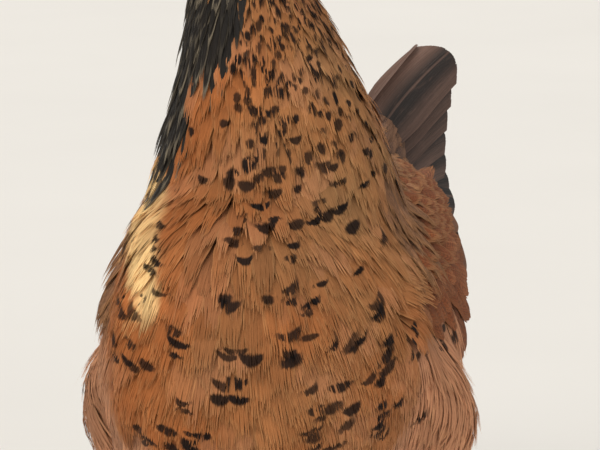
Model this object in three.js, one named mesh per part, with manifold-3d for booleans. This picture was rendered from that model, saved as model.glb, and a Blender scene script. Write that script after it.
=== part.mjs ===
// A domestic hen standing at rest, life size, in millimetres.
// She faces -Y with +Z up, so +X is her left. Her head looks round to her left.
// Each part of the body that has a name of its own is one closed solid, out to the feather tips.

import * as THREE from "three";
import { mergeVertices } from "three/addons/utils/BufferGeometryUtils.js";
import Module from "manifold-3d";

const wasm = await Module();
wasm.setup();

// ---- driving dimensions ----

const GAP = 0.35; // room left between parts that touch
const REACH = 600; // half the size of a cutting block, larger than the bird

const HEAD_TURN = THREE.MathUtils.degToRad(52); // how far she looks round to her left
const HEAD = new THREE.Vector3(7, -75, 402); // middle of the skull
const EYE_RADIUS = 6;
const EYE = new THREE.Vector3(9.8, -10, 3.5); // her left eye's middle, from the skull's middle
const BEAK_LENGTH = 21;
const COMB_THICKNESS = 4.6;
const COMB_POINTS = 5;

const BACK_FULLNESS = 1.95; // 2 makes an ellipse, more a fuller section
const BELLY_FULLNESS = 2.25;

const TAIL_ROOT = new THREE.Vector3(0, 150, 230);
const TAIL_LENGTH = 140;
const TAIL_FEATHERS = 5; // on each side
const TAIL_SWING = THREE.MathUtils.degToRad(9); // how far the top of the fan leans to her left
const QUILL_THICKNESS = 3.2; // a tail feather and the ones that lie against it

const HOCK = new THREE.Vector3(41, 40, 92);
const FOOT = new THREE.Vector3(44, 12, 9);
const PAD_RADIUS = 12.5;
const TOE_RADIUS = 5.6;
const TOES = {
  inner: { turn: -34, length: 45, joints: 3 },
  middle: { turn: 2, length: 60, joints: 4 },
  outer: { turn: 40, length: 50, joints: 4 },
  back: { turn: 158, length: 27, joints: 2 },
};
const CLAW_LENGTH = 14;

// ---- sizes along the body: each list runs from one end of the part to the other ----

// y: place along the body; top, bottom: heights; wide: height of the widest place; half: half width
const TRUNK = [
  { y: -122, top: 216, bottom: 204, wide: 210, half: 6 },
  { y: -115, top: 252, bottom: 163, wide: 204, half: 42 },
  { y: -89, top: 280, bottom: 134, wide: 194, half: 67 },
  { y: -46, top: 293, bottom: 114, wide: 184, half: 78 },
  { y: 8, top: 290, bottom: 106, wide: 180, half: 80 },
  { y: 62, top: 279, bottom: 108, wide: 184, half: 77 },
  { y: 112, top: 266, bottom: 122, wide: 196, half: 66 },
  { y: 152, top: 259, bottom: 155, wide: 212, half: 49 },
  { y: 182, top: 256, bottom: 192, wide: 226, half: 31 },
];

// x, y, z: middle; side, front, back: radii across, toward the throat and toward the nape;
// turn: how far the throat has turned to her left, in degrees
const NECK = [
  { x: 2, y: -20, z: 222, side: 66, front: 72, back: 64, turn: 0, lean: 8 },
  { x: 4, y: -34, z: 262, side: 61, front: 65, back: 66, turn: 6, lean: 20 },
  { x: 7, y: -50, z: 300, side: 50, front: 51, back: 60, turn: 16, lean: 24 },
  { x: 7, y: -61, z: 334, side: 39, front: 39, back: 49, turn: 30, lean: 18 },
  { x: 4, y: -67, z: 364, side: 29, front: 27, back: 37, turn: 44, lean: 9 },
  { x: 3, y: -70, z: 389, side: 17, front: 18, back: 25, turn: 52, lean: 3 },
  { x: 4, y: -72, z: 402, side: 10, front: 10, back: 14, turn: 52, lean: 0 },
];

// y: place from the skull's middle, the beak forward; z: middle height; half, rise, drop: radii
const SKULL = [
  { y: 27, z: 1, half: 4, rise: 5, drop: 5 },
  { y: 23, z: 1, half: 14, rise: 15, drop: 19 },
  { y: 12, z: 1, half: 17.5, rise: 20, drop: 22 },
  { y: -2, z: 1, half: 17, rise: 20.5, drop: 20 },
  { y: -13, z: -1, half: 13.6, rise: 17.5, drop: 15.5 },
  { y: -22, z: -3.5, half: 9.6, rise: 12, drop: 10.5 },
  { y: -28, z: -5, half: 7, rise: 8, drop: 7.4 },
];

// Bare skin on the head, from the skull's middle; thick, deep, high: radii
const WATTLE = { x: 5.6, y: -22.5, z: -21, thick: 2.3, deep: 6.4, high: 11 };
const EAR_LOBE = { x: 16.2, y: 5.5, z: -9, thick: 2.8, deep: 4.8, high: 6.4 };

// s: share of the trunk's length; top, bottom: edges; proud: how far the middle of the wing stands out
// from the trunk's side; thick: thickness at the middle
const WING = [
  { s: 0.285, top: 220, bottom: 208, proud: 3, thick: 6 },
  { s: 0.31, top: 246, bottom: 184, proud: 5, thick: 8 },
  { s: 0.38, top: 263, bottom: 164, proud: 7, thick: 10 },
  { s: 0.48, top: 269, bottom: 154, proud: 8, thick: 11 },
  { s: 0.6, top: 267, bottom: 156, proud: 8, thick: 11 },
  { s: 0.74, top: 260, bottom: 172, proud: 9, thick: 12 },
  { s: 0.87, top: 250, bottom: 197, proud: 10, thick: 13 },
  { s: 1, top: 240, bottom: 220, proud: 9, thick: 12 },
];

// x, y, z: middle; side, front, back: radii
const THIGH = [
  { x: 44, y: -10, z: 200, side: 38, front: 46, back: 52, turn: 0, lean: -18 },
  { x: 54, y: -8, z: 173, side: 43, front: 55, back: 56, turn: 0, lean: -18 },
  { x: 56, y: 2, z: 146, side: 43, front: 52, back: 50, turn: 0, lean: -20 },
  { x: 53, y: 19, z: 120, side: 33, front: 38, back: 34, turn: 0, lean: -26 },
  { x: 43, y: 35, z: 99, side: 13, front: 14, back: 13, turn: 0, lean: -20 },
];

const SHANK = [
  { x: HOCK.x, y: HOCK.y - 2, z: HOCK.z + 7, side: 6, front: 6, back: 6, turn: 0, lean: 0 },
  { x: HOCK.x, y: HOCK.y, z: HOCK.z, side: 8.6, front: 8.6, back: 8.4, turn: 0, lean: 8 },
  { x: HOCK.x, y: HOCK.y - 4, z: HOCK.z - 12, side: 6.6, front: 6.4, back: 7.2, turn: 0, lean: 18 },
  { x: 42, y: 27, z: 54, side: 5.8, front: 5.8, back: 6.6, turn: 0, lean: 20 },
  { x: 43, y: 18, z: 26, side: 6.4, front: 6.2, back: 6.6, turn: 0, lean: 18 },
  { x: FOOT.x, y: FOOT.y + 1, z: 13, side: 9.4, front: 8.6, back: 8, turn: 0, lean: 6 },
  { x: FOOT.x, y: FOOT.y, z: 5, side: PAD_RADIUS, front: 12, back: 10, turn: 0, lean: 0 },
  { x: FOOT.x, y: FOOT.y, z: -3, side: PAD_RADIUS - 2, front: 10, back: 8, turn: 0, lean: 0 },
];

// ---- building solids ----

// Reads a list of sizes as one smooth run: the result takes s from 0, the first row, to 1.
function smoothRun(rows) {
  const names = Object.keys(rows[0]);
  const values = rows.flatMap((row) => names.map((name) => row[name]));
  const places = rows.map((row, i) => i / (rows.length - 1));
  const run = new THREE.CubicInterpolant(places, values, names.length);
  return (s) => {
    const found = run.evaluate(s);
    return Object.fromEntries(names.map((name, i) => [name, found[i]]));
  };
}

// Makes a solid from a geometry, with its faces turned outward.
function solidOf(geometry) {
  const plain = geometry.clone();
  plain.deleteAttribute("normal");
  plain.deleteAttribute("uv");
  const merged = mergeVertices(plain, 1e-4);
  const vertProperties = merged.attributes.position.array;
  const triVerts = new Uint32Array(merged.index.array);
  const solid = new wasm.Manifold(new wasm.Mesh({ numProp: 3, vertProperties, triVerts }));
  if (solid.volume() > 0) {
    return solid;
  }
  triVerts.reverse();
  return new wasm.Manifold(new wasm.Mesh({ numProp: 3, vertProperties, triVerts }));
}

// Closes a run of rings, each with the same number of points, into one solid.
function solidOfRings(rings) {
  const sides = rings[0].length;
  const middleOf = (ring) =>
    ring.reduce((sum, point) => sum.add(point), new THREE.Vector3()).divideScalar(sides);
  const points = [...rings.flat(), middleOf(rings[0]), middleOf(rings.at(-1))];
  const first = points.length - 2;
  const last = points.length - 1;
  const faces = [];
  for (let side = 0; side < sides; side += 1) {
    const next = (side + 1) % sides;
    faces.push(first, next, side);
    for (let ring = 0; ring < rings.length - 1; ring += 1) {
      const a = ring * sides + side;
      const b = ring * sides + next;
      faces.push(a, b, b + sides, a, b + sides, a + sides);
    }
    const end = (rings.length - 1) * sides;
    faces.push(last, end + side, end + next);
  }
  const geometry = new THREE.BufferGeometry().setFromPoints(points);
  geometry.setIndex(faces);
  return solidOf(geometry);
}

// A block that covers everything on one side of a plane, set back by half the gap.
function sideOfPlane(point, normal) {
  const direction = normal.clone().normalize();
  const block = new THREE.BoxGeometry(2 * REACH, 2 * REACH, 2 * REACH);
  block.translate(0, 0, REACH + GAP / 2);
  const turn = new THREE.Quaternion().setFromUnitVectors(new THREE.Vector3(0, 0, 1), direction);
  block.applyQuaternion(turn);
  block.translate(point.x, point.y, point.z);
  return solidOf(block);
}

// A point on an oval that is a little fuller than an ellipse.
function oval(angle, fullness) {
  const bend = (value) => Math.sign(value) * Math.abs(value) ** (2 / fullness);
  return { across: bend(Math.cos(angle)), along: bend(Math.sin(angle)) };
}

// A limb along a run of { x, y, z, side, front, back, turn, lean } sizes, upright or hanging.
function limb(rows, { sides, steps, grow = 0, fullness = 2, mirror = 1 }) {
  const run = smoothRun(rows);
  const rings = [];
  for (let step = 0; step <= steps; step += 1) {
    const size = run(step / steps);
    const turn = THREE.MathUtils.degToRad(size.turn);
    const lean = THREE.MathUtils.degToRad(size.lean);
    const ring = [];
    for (let side = 0; side < sides; side += 1) {
      const { across, along } = oval((2 * Math.PI * side) / sides, fullness);
      const depth = along < 0 ? size.front + grow : size.back + grow;
      const point = new THREE.Vector3((size.side + grow) * across, depth * along, 0);
      point.applyAxisAngle(new THREE.Vector3(0, 0, 1), turn);
      point.applyAxisAngle(new THREE.Vector3(1, 0, 0), lean);
      point.add(new THREE.Vector3(size.x, size.y, size.z));
      point.x *= mirror;
      ring.push(point);
    }
    rings.push(ring);
  }
  return solidOfRings(rings);
}

// ---- trunk, neck and tail ----

function trunkSolid(grow) {
  const run = smoothRun(TRUNK);
  const sides = 26;
  const steps = 17;
  const rings = [];
  for (let step = 0; step <= steps; step += 1) {
    const size = run(step / steps);
    const end = step === 0 ? -grow : 0;
    const ring = [];
    for (let side = 0; side < sides; side += 1) {
      const angle = (2 * Math.PI * side) / sides;
      const { across, along } = oval(angle, angle < Math.PI ? BACK_FULLNESS : BELLY_FULLNESS);
      const rise = along > 0 ? size.top - size.wide : size.wide - size.bottom;
      ring.push(
        new THREE.Vector3((size.half + grow) * across, size.y + end, size.wide + (rise + grow) * along),
      );
    }
    rings.push(ring);
  }
  return solidOfRings(rings);
}

// How far the trunk's side stands from the mid plane at a height, in the section of the given sizes.
function trunkSideAt(size, z) {
  const above = z > size.wide;
  const fullness = above ? BACK_FULLNESS : BELLY_FULLNESS;
  const height = above ? size.top - size.wide : size.wide - size.bottom;
  const share = Math.abs(z - size.wide) / height;
  return size.half * Math.max(0, 1 - Math.min(1, share) ** fullness) ** (1 / fullness);
}

function neckSolid(grow) {
  return limb(NECK, { sides: 20, steps: 13, grow });
}

// A flat feather blade with a rounded tip, lying along +Y with its face toward +X.
function blade(length, width) {
  const outline = new THREE.Shape();
  outline.moveTo(0, -width * 0.28);
  outline.lineTo(length * 0.45, -width * 0.46);
  outline.lineTo(length * 0.86, -width * 0.45);
  outline.quadraticCurveTo(length * 1.03, -width * 0.32, length, width * 0.08);
  outline.quadraticCurveTo(length * 0.97, width * 0.42, length * 0.82, width * 0.46);
  outline.lineTo(length * 0.45, width * 0.46);
  outline.lineTo(0, width * 0.28);
  outline.closePath();
  const plate = new THREE.ExtrudeGeometry(outline, {
    depth: QUILL_THICKNESS,
    bevelEnabled: false,
    curveSegments: 2,
  });
  plate.translate(0, 0, -QUILL_THICKNESS / 2);
  plate.rotateY(Math.PI / 2);
  plate.rotateX(Math.PI / 2);
  return plate;
}

// The folded fan: on each side the feathers run from the steep inner pair to the low outer one.
function tailSolid() {
  let tail = null;
  for (const side of [-1, 1]) {
    for (let i = 0; i < TAIL_FEATHERS; i += 1) {
      const share = i / (TAIL_FEATHERS - 1);
      const feather = blade(TAIL_LENGTH * (1 - 0.14 * share * share), 34);
      const rise = THREE.MathUtils.degToRad(21 - 25 * share);
      const spread = THREE.MathUtils.degToRad(4 + 9 * share * share);
      const tilt = THREE.MathUtils.degToRad(50 - 26 * share);
      feather.rotateY(-side * tilt);
      feather.rotateX(rise);
      feather.rotateZ(-side * spread);
      feather.translate(side * (3 + 12 * share), 0, 16 - 24 * share);
      feather.rotateZ(-TAIL_SWING * (1 - share) ** 1.6);
      feather.translate(TAIL_ROOT.x, TAIL_ROOT.y, TAIL_ROOT.z);
      tail = tail ? tail.add(solidOf(feather)) : solidOf(feather);
    }
  }
  return tail.add(coverts());
}

// The soft feathers that close round the root of the tail.
function coverts() {
  const rings = [];
  const steps = 7;
  for (let step = 0; step <= steps; step += 1) {
    const s = step / steps;
    const back = 92 * s;
    const taper = Math.sqrt(1 - 0.94 * s * s);
    const ring = [];
    for (let side = 0; side < 12; side += 1) {
      const { across, along } = oval((2 * Math.PI * side) / 12, 2);
      ring.push(
        new THREE.Vector3(
          (36 - 16 * s) * taper * across + 0.04 * back,
          TAIL_ROOT.y - 6 + back,
          TAIL_ROOT.z - 6 + 0.28 * back + (along > 0 ? 40 : 46) * taper * along,
        ),
      );
    }
    rings.push(ring);
  }
  return solidOfRings(rings);
}

// ---- head ----

// Turns a shape made about the skull's middle to where the head is and looks.
function placeOnHead(geometry) {
  geometry.rotateZ(HEAD_TURN);
  geometry.translate(HEAD.x, HEAD.y, HEAD.z);
  return solidOf(geometry);
}

function geometryOf(solid) {
  const mesh = solid.getMesh();
  const geometry = new THREE.BufferGeometry();
  geometry.setAttribute("position", new THREE.BufferAttribute(mesh.vertProperties, 3));
  geometry.setIndex(new THREE.BufferAttribute(mesh.triVerts, 1));
  return geometry;
}

function skullSolid(grow) {
  const run = smoothRun(SKULL);
  const steps = 12;
  const sides = 18;
  const rings = [];
  for (let step = 0; step <= steps; step += 1) {
    const size = run(step / steps);
    const ring = [];
    for (let side = 0; side < sides; side += 1) {
      const { across, along } = oval((2 * Math.PI * side) / sides, 2.15);
      const reach = (along > 0 ? size.rise : size.drop) + grow;
      ring.push(new THREE.Vector3((size.half + grow) * across, size.y, size.z + reach * along));
    }
    rings.push(ring);
  }
  return placeOnHead(geometryOf(solidOfRings(rings)));
}

// One half of the beak: it runs forward from the face and curves down to its tip.
function beakHalf(upper, grow) {
  const length = (upper ? BEAK_LENGTH + 8 : BEAK_LENGTH + 3) + grow;
  const steps = 6;
  const sides = 10;
  const rings = [];
  for (let step = 0; step <= steps; step += 1) {
    const s = step / steps;
    const taper = Math.sqrt(1 - 0.93 * s * s);
    const half = (upper ? 7.2 : 6) * taper * (1 - 0.25 * s) + grow;
    const mouth = -7.2 - 3.4 * s * s + (upper ? -grow : grow);
    const height = upper ? 8.6 * taper + 2 * grow : -5.2 * taper - 2 * grow;
    const ring = [];
    for (let side = 0; side < sides; side += 1) {
      const angle = (Math.PI * side) / (sides - 1);
      ring.push(
        new THREE.Vector3(half * Math.cos(angle), -19 - length * s, mouth + height * Math.sin(angle)),
      );
    }
    rings.push(ring);
  }
  return placeOnHead(geometryOf(solidOfRings(rings)));
}

// The single comb, an upright blade with a row of points, from the beak to the back of the crown.
function combSolid() {
  const front = -31;
  const back = 21;
  const outline = new THREE.Shape();
  outline.moveTo(front, 2);
  outline.lineTo(front + 2, 10);
  for (let i = 0; i < COMB_POINTS; i += 1) {
    const share = (i + 0.5) / COMB_POINTS;
    const start = front + 2 + ((back - front) * i) / COMB_POINTS;
    const tip = start + ((back - front) / COMB_POINTS) * 0.6;
    const end = front + 2 + ((back - front) * (i + 1)) / COMB_POINTS;
    const height = 24 + 15 * Math.sin(Math.PI * (0.16 + 0.78 * share));
    outline.quadraticCurveTo(start + 0.4, height - 6, tip - 0.8, height);
    outline.lineTo(tip + 1.2, height - 0.4);
    outline.quadraticCurveTo(end - 0.4, height - 6, end, height - 12);
  }
  outline.lineTo(back + 7, 19);
  outline.lineTo(back + 4, 6);
  outline.closePath();
  const comb = new THREE.ExtrudeGeometry(outline, {
    depth: COMB_THICKNESS * 0.4,
    bevelThickness: COMB_THICKNESS * 0.3,
    bevelSize: 1,
    bevelSegments: 1,
    curveSegments: 2,
  });
  comb.translate(0, 0, -COMB_THICKNESS * 0.2);
  comb.rotateX(Math.PI / 2);
  comb.rotateZ(Math.PI / 2);
  return placeOnHead(comb);
}

// A hanging or lying drop of bare skin: a flattened ball.
function skinDrop(mirror, { x, y, z, thick, deep, high }) {
  const drop = new THREE.SphereGeometry(1, 9, 6);
  drop.rotateX(Math.PI / 2);
  drop.scale(thick, deep, high);
  drop.translate(mirror * x, y, z);
  return placeOnHead(drop);
}

function eyeSolid(mirror, grow) {
  const eye = new THREE.SphereGeometry(EYE_RADIUS + grow, 12, 6);
  eye.rotateZ(Math.PI / 2);
  eye.translate(mirror * EYE.x, EYE.y, EYE.z);
  return placeOnHead(eye);
}

// ---- wings ----

// A folded wing: a curved plate that follows the trunk's side, thickest at its middle.
function wingSolid(mirror, grow) {
  const run = smoothRun(WING);
  const trunkRun = smoothRun(TRUNK);
  const steps = 14;
  const across = 6;
  const rings = [];
  for (let step = 0; step <= steps; step += 1) {
    const size = run(step / steps);
    const trunk = trunkRun(size.s);
    const middle = (size.top + size.bottom) / 2;
    const reach = (size.top - size.bottom) / 2 + grow;
    const end = step === 0 ? -grow : 0;
    const faceAt = (u, inward) => {
      const z = middle + reach * u;
      const rim = u * u;
      const outer = trunkSideAt(trunk, z) + grow + size.proud * (1 - 0.65 * rim);
      const depth = inward * (3 + 2 * grow + size.thick * Math.sqrt(1 - 0.8 * rim));
      return new THREE.Vector3(mirror * (outer - depth), trunk.y + end, z);
    };
    const ring = [];
    for (let i = 0; i <= across; i += 1) {
      ring.push(faceAt(-1 + (2 * i) / across, 0));
    }
    for (let i = across; i >= 0; i -= 1) {
      ring.push(faceAt(-1 + (2 * i) / across, 1));
    }
    rings.push(ring);
  }
  return solidOfRings(rings);
}

// ---- legs and feet ----

function thighSolid(mirror, grow) {
  return limb(THIGH, { sides: 16, steps: 9, grow, mirror });
}

function shankSolid(mirror, grow) {
  return limb(SHANK, { sides: 10, steps: 14, grow, mirror });
}

function toePlace(name, mirror) {
  const { turn } = TOES[name];
  const angle = THREE.MathUtils.degToRad(turn) * mirror;
  return {
    start: new THREE.Vector3(mirror * FOOT.x, FOOT.y, 0),
    ahead: new THREE.Vector3(Math.sin(angle), -Math.cos(angle), 0),
  };
}

// A round rod laid on the floor from one distance out to another, with a flat under it.
function floorRod(name, mirror, { from, to, radiusAt, heightAt, sides, steps }) {
  const { start, ahead } = toePlace(name, mirror);
  const across = new THREE.Vector3(-ahead.y, ahead.x, 0);
  const rings = [];
  for (let step = 0; step <= steps; step += 1) {
    const s = step / steps;
    const radius = radiusAt(s);
    const ring = [];
    for (let side = 0; side < sides; side += 1) {
      const angle = (2 * Math.PI * (side + 0.5)) / sides;
      const point = start.clone().addScaledVector(ahead, from + (to - from) * s);
      point.addScaledVector(across, radius * Math.cos(angle));
      point.z = Math.max(0, heightAt(s) + radius * Math.sin(angle));
      ring.push(point);
    }
    rings.push(ring);
  }
  return solidOfRings(rings);
}

// A toe swells at each of its joints and thins toward the claw.
function toeSolid(name, mirror) {
  const { length, joints } = TOES[name];
  const radiusAt = (s) => {
    const swell = 1 + 0.09 * Math.cos(2 * Math.PI * joints * (s - 0.08));
    return TOE_RADIUS * (1 - 0.3 * s) * swell;
  };
  return floorRod(name, mirror, {
    from: PAD_RADIUS * (name === "back" ? 0.72 : 0.86),
    to: length,
    radiusAt,
    heightAt: (s) => radiusAt(s) * 0.8 + (name === "back" ? 5 * (1 - s) ** 2 : 0),
    sides: 8,
    steps: 2 * joints + 1,
  });
}

// The wedge of the foot that a toe may fill, parted from its neighbours by upright cuts.
function toeRoom(name, mirror) {
  const middle = new THREE.Vector3(mirror * FOOT.x, FOOT.y, 0);
  const cutBetween = (one, other) => {
    const angle = THREE.MathUtils.degToRad((TOES[one].turn + TOES[other].turn) / 2) * mirror;
    const away = Math.sign(TOES[one].turn - TOES[other].turn) * mirror;
    return sideOfPlane(
      middle,
      new THREE.Vector3(Math.cos(angle), Math.sin(angle), 0).multiplyScalar(away),
    );
  };
  const neighbours = { inner: ["middle"], middle: ["inner", "outer"], outer: ["middle"], back: [] };
  return neighbours[name].map((other) => cutBetween(name, other));
}

// A claw leaves the toe high and curves down until its point rests on the floor.
function clawSolid(name, mirror) {
  const { length } = TOES[name];
  const radiusAt = (s) => 3 * (1 - 0.72 * s);
  return floorRod(name, mirror, {
    from: length + GAP,
    to: length + CLAW_LENGTH * (name === "back" ? 0.8 : 1),
    radiusAt,
    heightAt: (s) => 3.4 + 1.6 * Math.sin(Math.PI * Math.min(1, s * 1.1)) - 2.9 * s * s,
    sides: 6,
    steps: 4,
  });
}

// ---- the whole bird ----

const PLUMAGE = { color: 0xb07a4a, roughness: 0.85, metalness: 0 };
const WING_PLUMAGE = { color: 0x7d3f26, roughness: 0.8, metalness: 0 };
const TAIL_PLUMAGE = { color: 0x2b2a30, roughness: 0.7, metalness: 0 };
const BARE_SKIN = { color: 0xa8231d, roughness: 0.55, metalness: 0 };
const LEG_SKIN = { color: 0x8f8660, roughness: 0.6, metalness: 0 };
const HORN = { color: 0x6e5d44, roughness: 0.4, metalness: 0 };
const EYE_GLOSS = { color: 0x8a3d12, roughness: 0.1, metalness: 0 };

const SIDES = [
  ["left", 1],
  ["right", -1],
];

const hen = new THREE.Group();

function addPart(name, solid, finish) {
  const mesh = new THREE.Mesh(geometryOf(solid), new THREE.MeshStandardMaterial(finish));
  mesh.name = name;
  hen.add(mesh);
}

// Head, neck and trunk are one smooth form, parted by plane cuts.
function addBody() {
  const neckCut = { point: new THREE.Vector3(2, -69, 379), normal: new THREE.Vector3(0, -0.12, 1) };
  const baseCut = { point: new THREE.Vector3(0, -110, 258), normal: new THREE.Vector3(0, -0.4, 1) };
  const tailCut = { point: new THREE.Vector3(0, 170, 235), normal: new THREE.Vector3(0, 1, -0.12) };
  const above = (cut) => sideOfPlane(cut.point, cut.normal);
  const below = (cut) => sideOfPlane(cut.point, cut.normal.clone().negate());

  const neckForm = neckSolid(0);
  const trunkForm = trunkSolid(0);
  const upper = skullSolid(0).add(neckForm);
  const eyes = eyeSolid(1, GAP).add(eyeSolid(-1, GAP));
  const beakRoom = beakHalf(true, GAP).add(beakHalf(false, GAP));

  const head = upper.intersect(above(neckCut)).subtract(eyes);
  const neck = neckForm.add(trunkForm).intersect(below(neckCut)).intersect(above(baseCut));
  const trunk = neckForm.add(trunkForm).intersect(below(baseCut)).intersect(below(tailCut));
  const tail = tailSolid().intersect(above(tailCut));
  addPart("head", head.subtract(beakRoom), PLUMAGE);
  addPart("neck", neck, PLUMAGE);
  addPart("trunk", trunk, PLUMAGE);
  addPart("tail", tail, TAIL_PLUMAGE);
}

// Wings and thighs lie against the trunk, and what would reach into it is cut away.
function addLimbs() {
  const trunkRoom = trunkSolid(GAP).add(neckSolid(GAP));
  for (const [label, mirror] of SIDES) {
    const wing = wingSolid(mirror, 0).subtract(trunkRoom);
    addPart(`wing_${label}`, wing, WING_PLUMAGE);
    const thigh = thighSolid(mirror, 0).subtract(trunkRoom).subtract(wingSolid(mirror, GAP));
    addPart(`thigh_${label}`, thigh, PLUMAGE);
    addLeg(label, mirror);
  }
}

function addLeg(label, mirror) {
  const floor = sideOfPlane(new THREE.Vector3(0, 0, -GAP / 2), new THREE.Vector3(0, 0, 1));
  const shank = shankSolid(mirror, 0).intersect(floor).subtract(thighSolid(mirror, GAP));
  addPart(`shank_${label}`, shank, LEG_SKIN);
  for (const name of Object.keys(TOES)) {
    const wedge = toeRoom(name, mirror);
    const toe = wedge.reduce((kept, room) => kept.intersect(room), toeSolid(name, mirror));
    addPart(`toe_${label}_${name}`, toe.subtract(shankSolid(mirror, GAP)), LEG_SKIN);
    addPart(`claw_${label}_${name}`, clawSolid(name, mirror), HORN);
  }
}

function addFace() {
  const headRoom = skullSolid(GAP).add(neckSolid(GAP));
  const beakRoom = beakHalf(true, GAP).add(beakHalf(false, GAP));
  addPart("beak_upper", beakHalf(true, 0), HORN);
  addPart("beak_lower", beakHalf(false, 0).subtract(beakHalf(true, GAP)), HORN);
  addPart("comb", combSolid().subtract(headRoom).subtract(beakRoom), BARE_SKIN);
  for (const [label, mirror] of SIDES) {
    addPart(`eye_${label}`, eyeSolid(mirror, 0), EYE_GLOSS);
    const wattle = skinDrop(mirror, WATTLE).subtract(headRoom).subtract(beakRoom);
    addPart(`wattle_${label}`, wattle, BARE_SKIN);
    addPart(`earlobe_${label}`, skinDrop(mirror, EAR_LOBE).subtract(headRoom), BARE_SKIN);
  }
}

addBody();
addLimbs();
addFace();

// The origin lies on the floor under the middle of the bird's box.
const reach = new THREE.Box3().setFromObject(hen);
const middle = reach.getCenter(new THREE.Vector3());
hen.position.set(-middle.x, -middle.y, -reach.min.z);

export default hen;
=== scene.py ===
"""A standing domestic hen, dressed with skin and feathers over its solid parts. Sizes in metres."""

import math

import bmesh
import bpy
import numpy as np
from mathutils import Matrix, Vector, kdtree
from mathutils.bvhtree import BVHTree


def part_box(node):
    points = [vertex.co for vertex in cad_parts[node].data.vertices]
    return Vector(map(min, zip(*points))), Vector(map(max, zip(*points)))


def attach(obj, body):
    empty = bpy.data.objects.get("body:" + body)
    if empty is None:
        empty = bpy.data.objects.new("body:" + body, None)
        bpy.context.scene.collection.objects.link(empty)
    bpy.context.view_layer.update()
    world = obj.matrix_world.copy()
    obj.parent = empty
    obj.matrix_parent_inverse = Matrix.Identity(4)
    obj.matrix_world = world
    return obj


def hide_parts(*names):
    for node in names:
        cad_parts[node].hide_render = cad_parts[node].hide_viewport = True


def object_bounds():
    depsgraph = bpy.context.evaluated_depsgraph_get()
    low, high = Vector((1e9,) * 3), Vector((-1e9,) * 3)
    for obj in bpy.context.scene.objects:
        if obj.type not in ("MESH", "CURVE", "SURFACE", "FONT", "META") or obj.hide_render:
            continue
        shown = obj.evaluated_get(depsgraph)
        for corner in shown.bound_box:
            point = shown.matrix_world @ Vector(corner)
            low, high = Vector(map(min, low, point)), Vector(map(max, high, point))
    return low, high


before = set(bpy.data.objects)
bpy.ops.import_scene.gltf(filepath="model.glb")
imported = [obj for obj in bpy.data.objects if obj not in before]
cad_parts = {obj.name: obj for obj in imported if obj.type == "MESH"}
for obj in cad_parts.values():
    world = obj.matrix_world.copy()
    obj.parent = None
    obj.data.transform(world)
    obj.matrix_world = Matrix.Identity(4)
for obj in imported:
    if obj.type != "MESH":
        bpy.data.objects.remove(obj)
CAD_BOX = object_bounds()

# ---- driving values ----

SEED = 7
SIDES = (("left", 1), ("right", -1))
TOES = ("inner", "middle", "outer", "back")

VIEW_TURN = math.radians(13)
VIEW_RISE = math.radians(11)
VIEW_DISTANCE = 1.4
VIEW_ASIDE = 0.023  # how far to the right of the bird's middle the view is centred
AIM_SHARE = (0.5, 0.153, 0.577)  # where in the bird's box the view is centred
LENS = 180.6

HEAD_TURN = math.radians(52)  # how far she looks round to her left
BODY_VOXEL = 0.0035
HEAD_VOXEL = 0.001
LEG_VOXEL = 0.0012
JOIN_GROWTH = 0.0005  # closes the thin cuts between the parts before they become one skin
SHANK_SCUTE = 0.0048  # the length of one scute
TOE_SCUTE = 0.0036
SCUTE_RISE = 0.0005  # how much thicker a scute is at its start than at its end
SCUTE_DIP = 0.0003  # how far its end lies inside the smooth leg
PATH_STEPS = 7  # how many steps the middle line of a feather takes over the skin
STIFFNESS = 0.75  # how much of its own direction a feather keeps at each step, and not the coat's lie
ROOT_TRIES = 5  # how many places are tried for each feather's root
ROOT_GAP = 0.86  # how near two roots may be, in shares of the room that each has
TURN_VARY = 0.09  # how unevenly the feathers turn from the coat's lie
OWN_TINT = 0.30  # how much of a buff feather's tint is its own, and not that of the places it lies over
LOCK_WIDTH = 1.8  # how wide a lock of barbs is, in shares of its own strip of the feather
# The lowest and the highest flight feather of the folded wing, as shares of its length and height
FLIGHT_ROOTS = ((0.36, 0.08), (0.54, 0.70))
FLIGHT_TIPS = ((0.93, 0.47), (1.02, 0.74))
FLIGHT_FEATHERS = 12
FLIGHT_SINK = (0.0052, 0.0022)  # how far the lowest and the highest lie inside the wing's outer face
TAIL_LENGTH = 0.140
TAIL_ROOT_HEIGHT = 0.230
TAIL_ROOT_AHEAD = 0.1345  # how far the tail's root lies ahead of the tips
TAIL_PAIRS = 7
TAIL_TILT = {"left": 50, "right": 42}  # how far each half of the tail leans from upright, in degrees
TAIL_SPREAD = {"left": 4, "right": 1}  # how far each half swings out from the middle, in degrees
TAIL_MAUVE = {"left": 0.05, "right": 0.90}  # how mauve the top feather of each half is
TAIL_RISE = (math.radians(21), math.radians(-4))  # the slope of the highest and the lowest tail feathers
TAIL_SWING = math.radians(9)  # how far the top of the fan leans to her left
ROOF_GAP = 0.0095  # how far each half of the tail lies from the ridge where they meet
BAKE_PATCH = 0.003
SURROUND_LIGHT = 0.50  # how strongly the surround lights the bird
SURROUND_SEEN = 0.96  # how bright it looks behind her
SURROUND_COLOUR = (0.858, 0.825, 0.774, 1)

# How far the feathers stand over the skin
COAT_DEPTH = {"trunk": 0.0085, "neck": 0.0075, "wing": 0.006, "thigh": 0.005, "head": 0.0012}
DRAWN_IN = 0.0055  # how much deeper the skin lies in front of her right wing
THIGH_FLARE = {"left": 0.0, "right": 0.0110}  # how far the loose feathers of each thigh stand out

FLESH = ["head", "neck", "trunk", "tail"]
FLESH += [f"{part}_{side}" for part in ("wing", "thigh", "shank") for side, _ in SIDES]
FLESH += [f"toe_{side}_{toe}" for side, _ in SIDES for toe in TOES]


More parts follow.
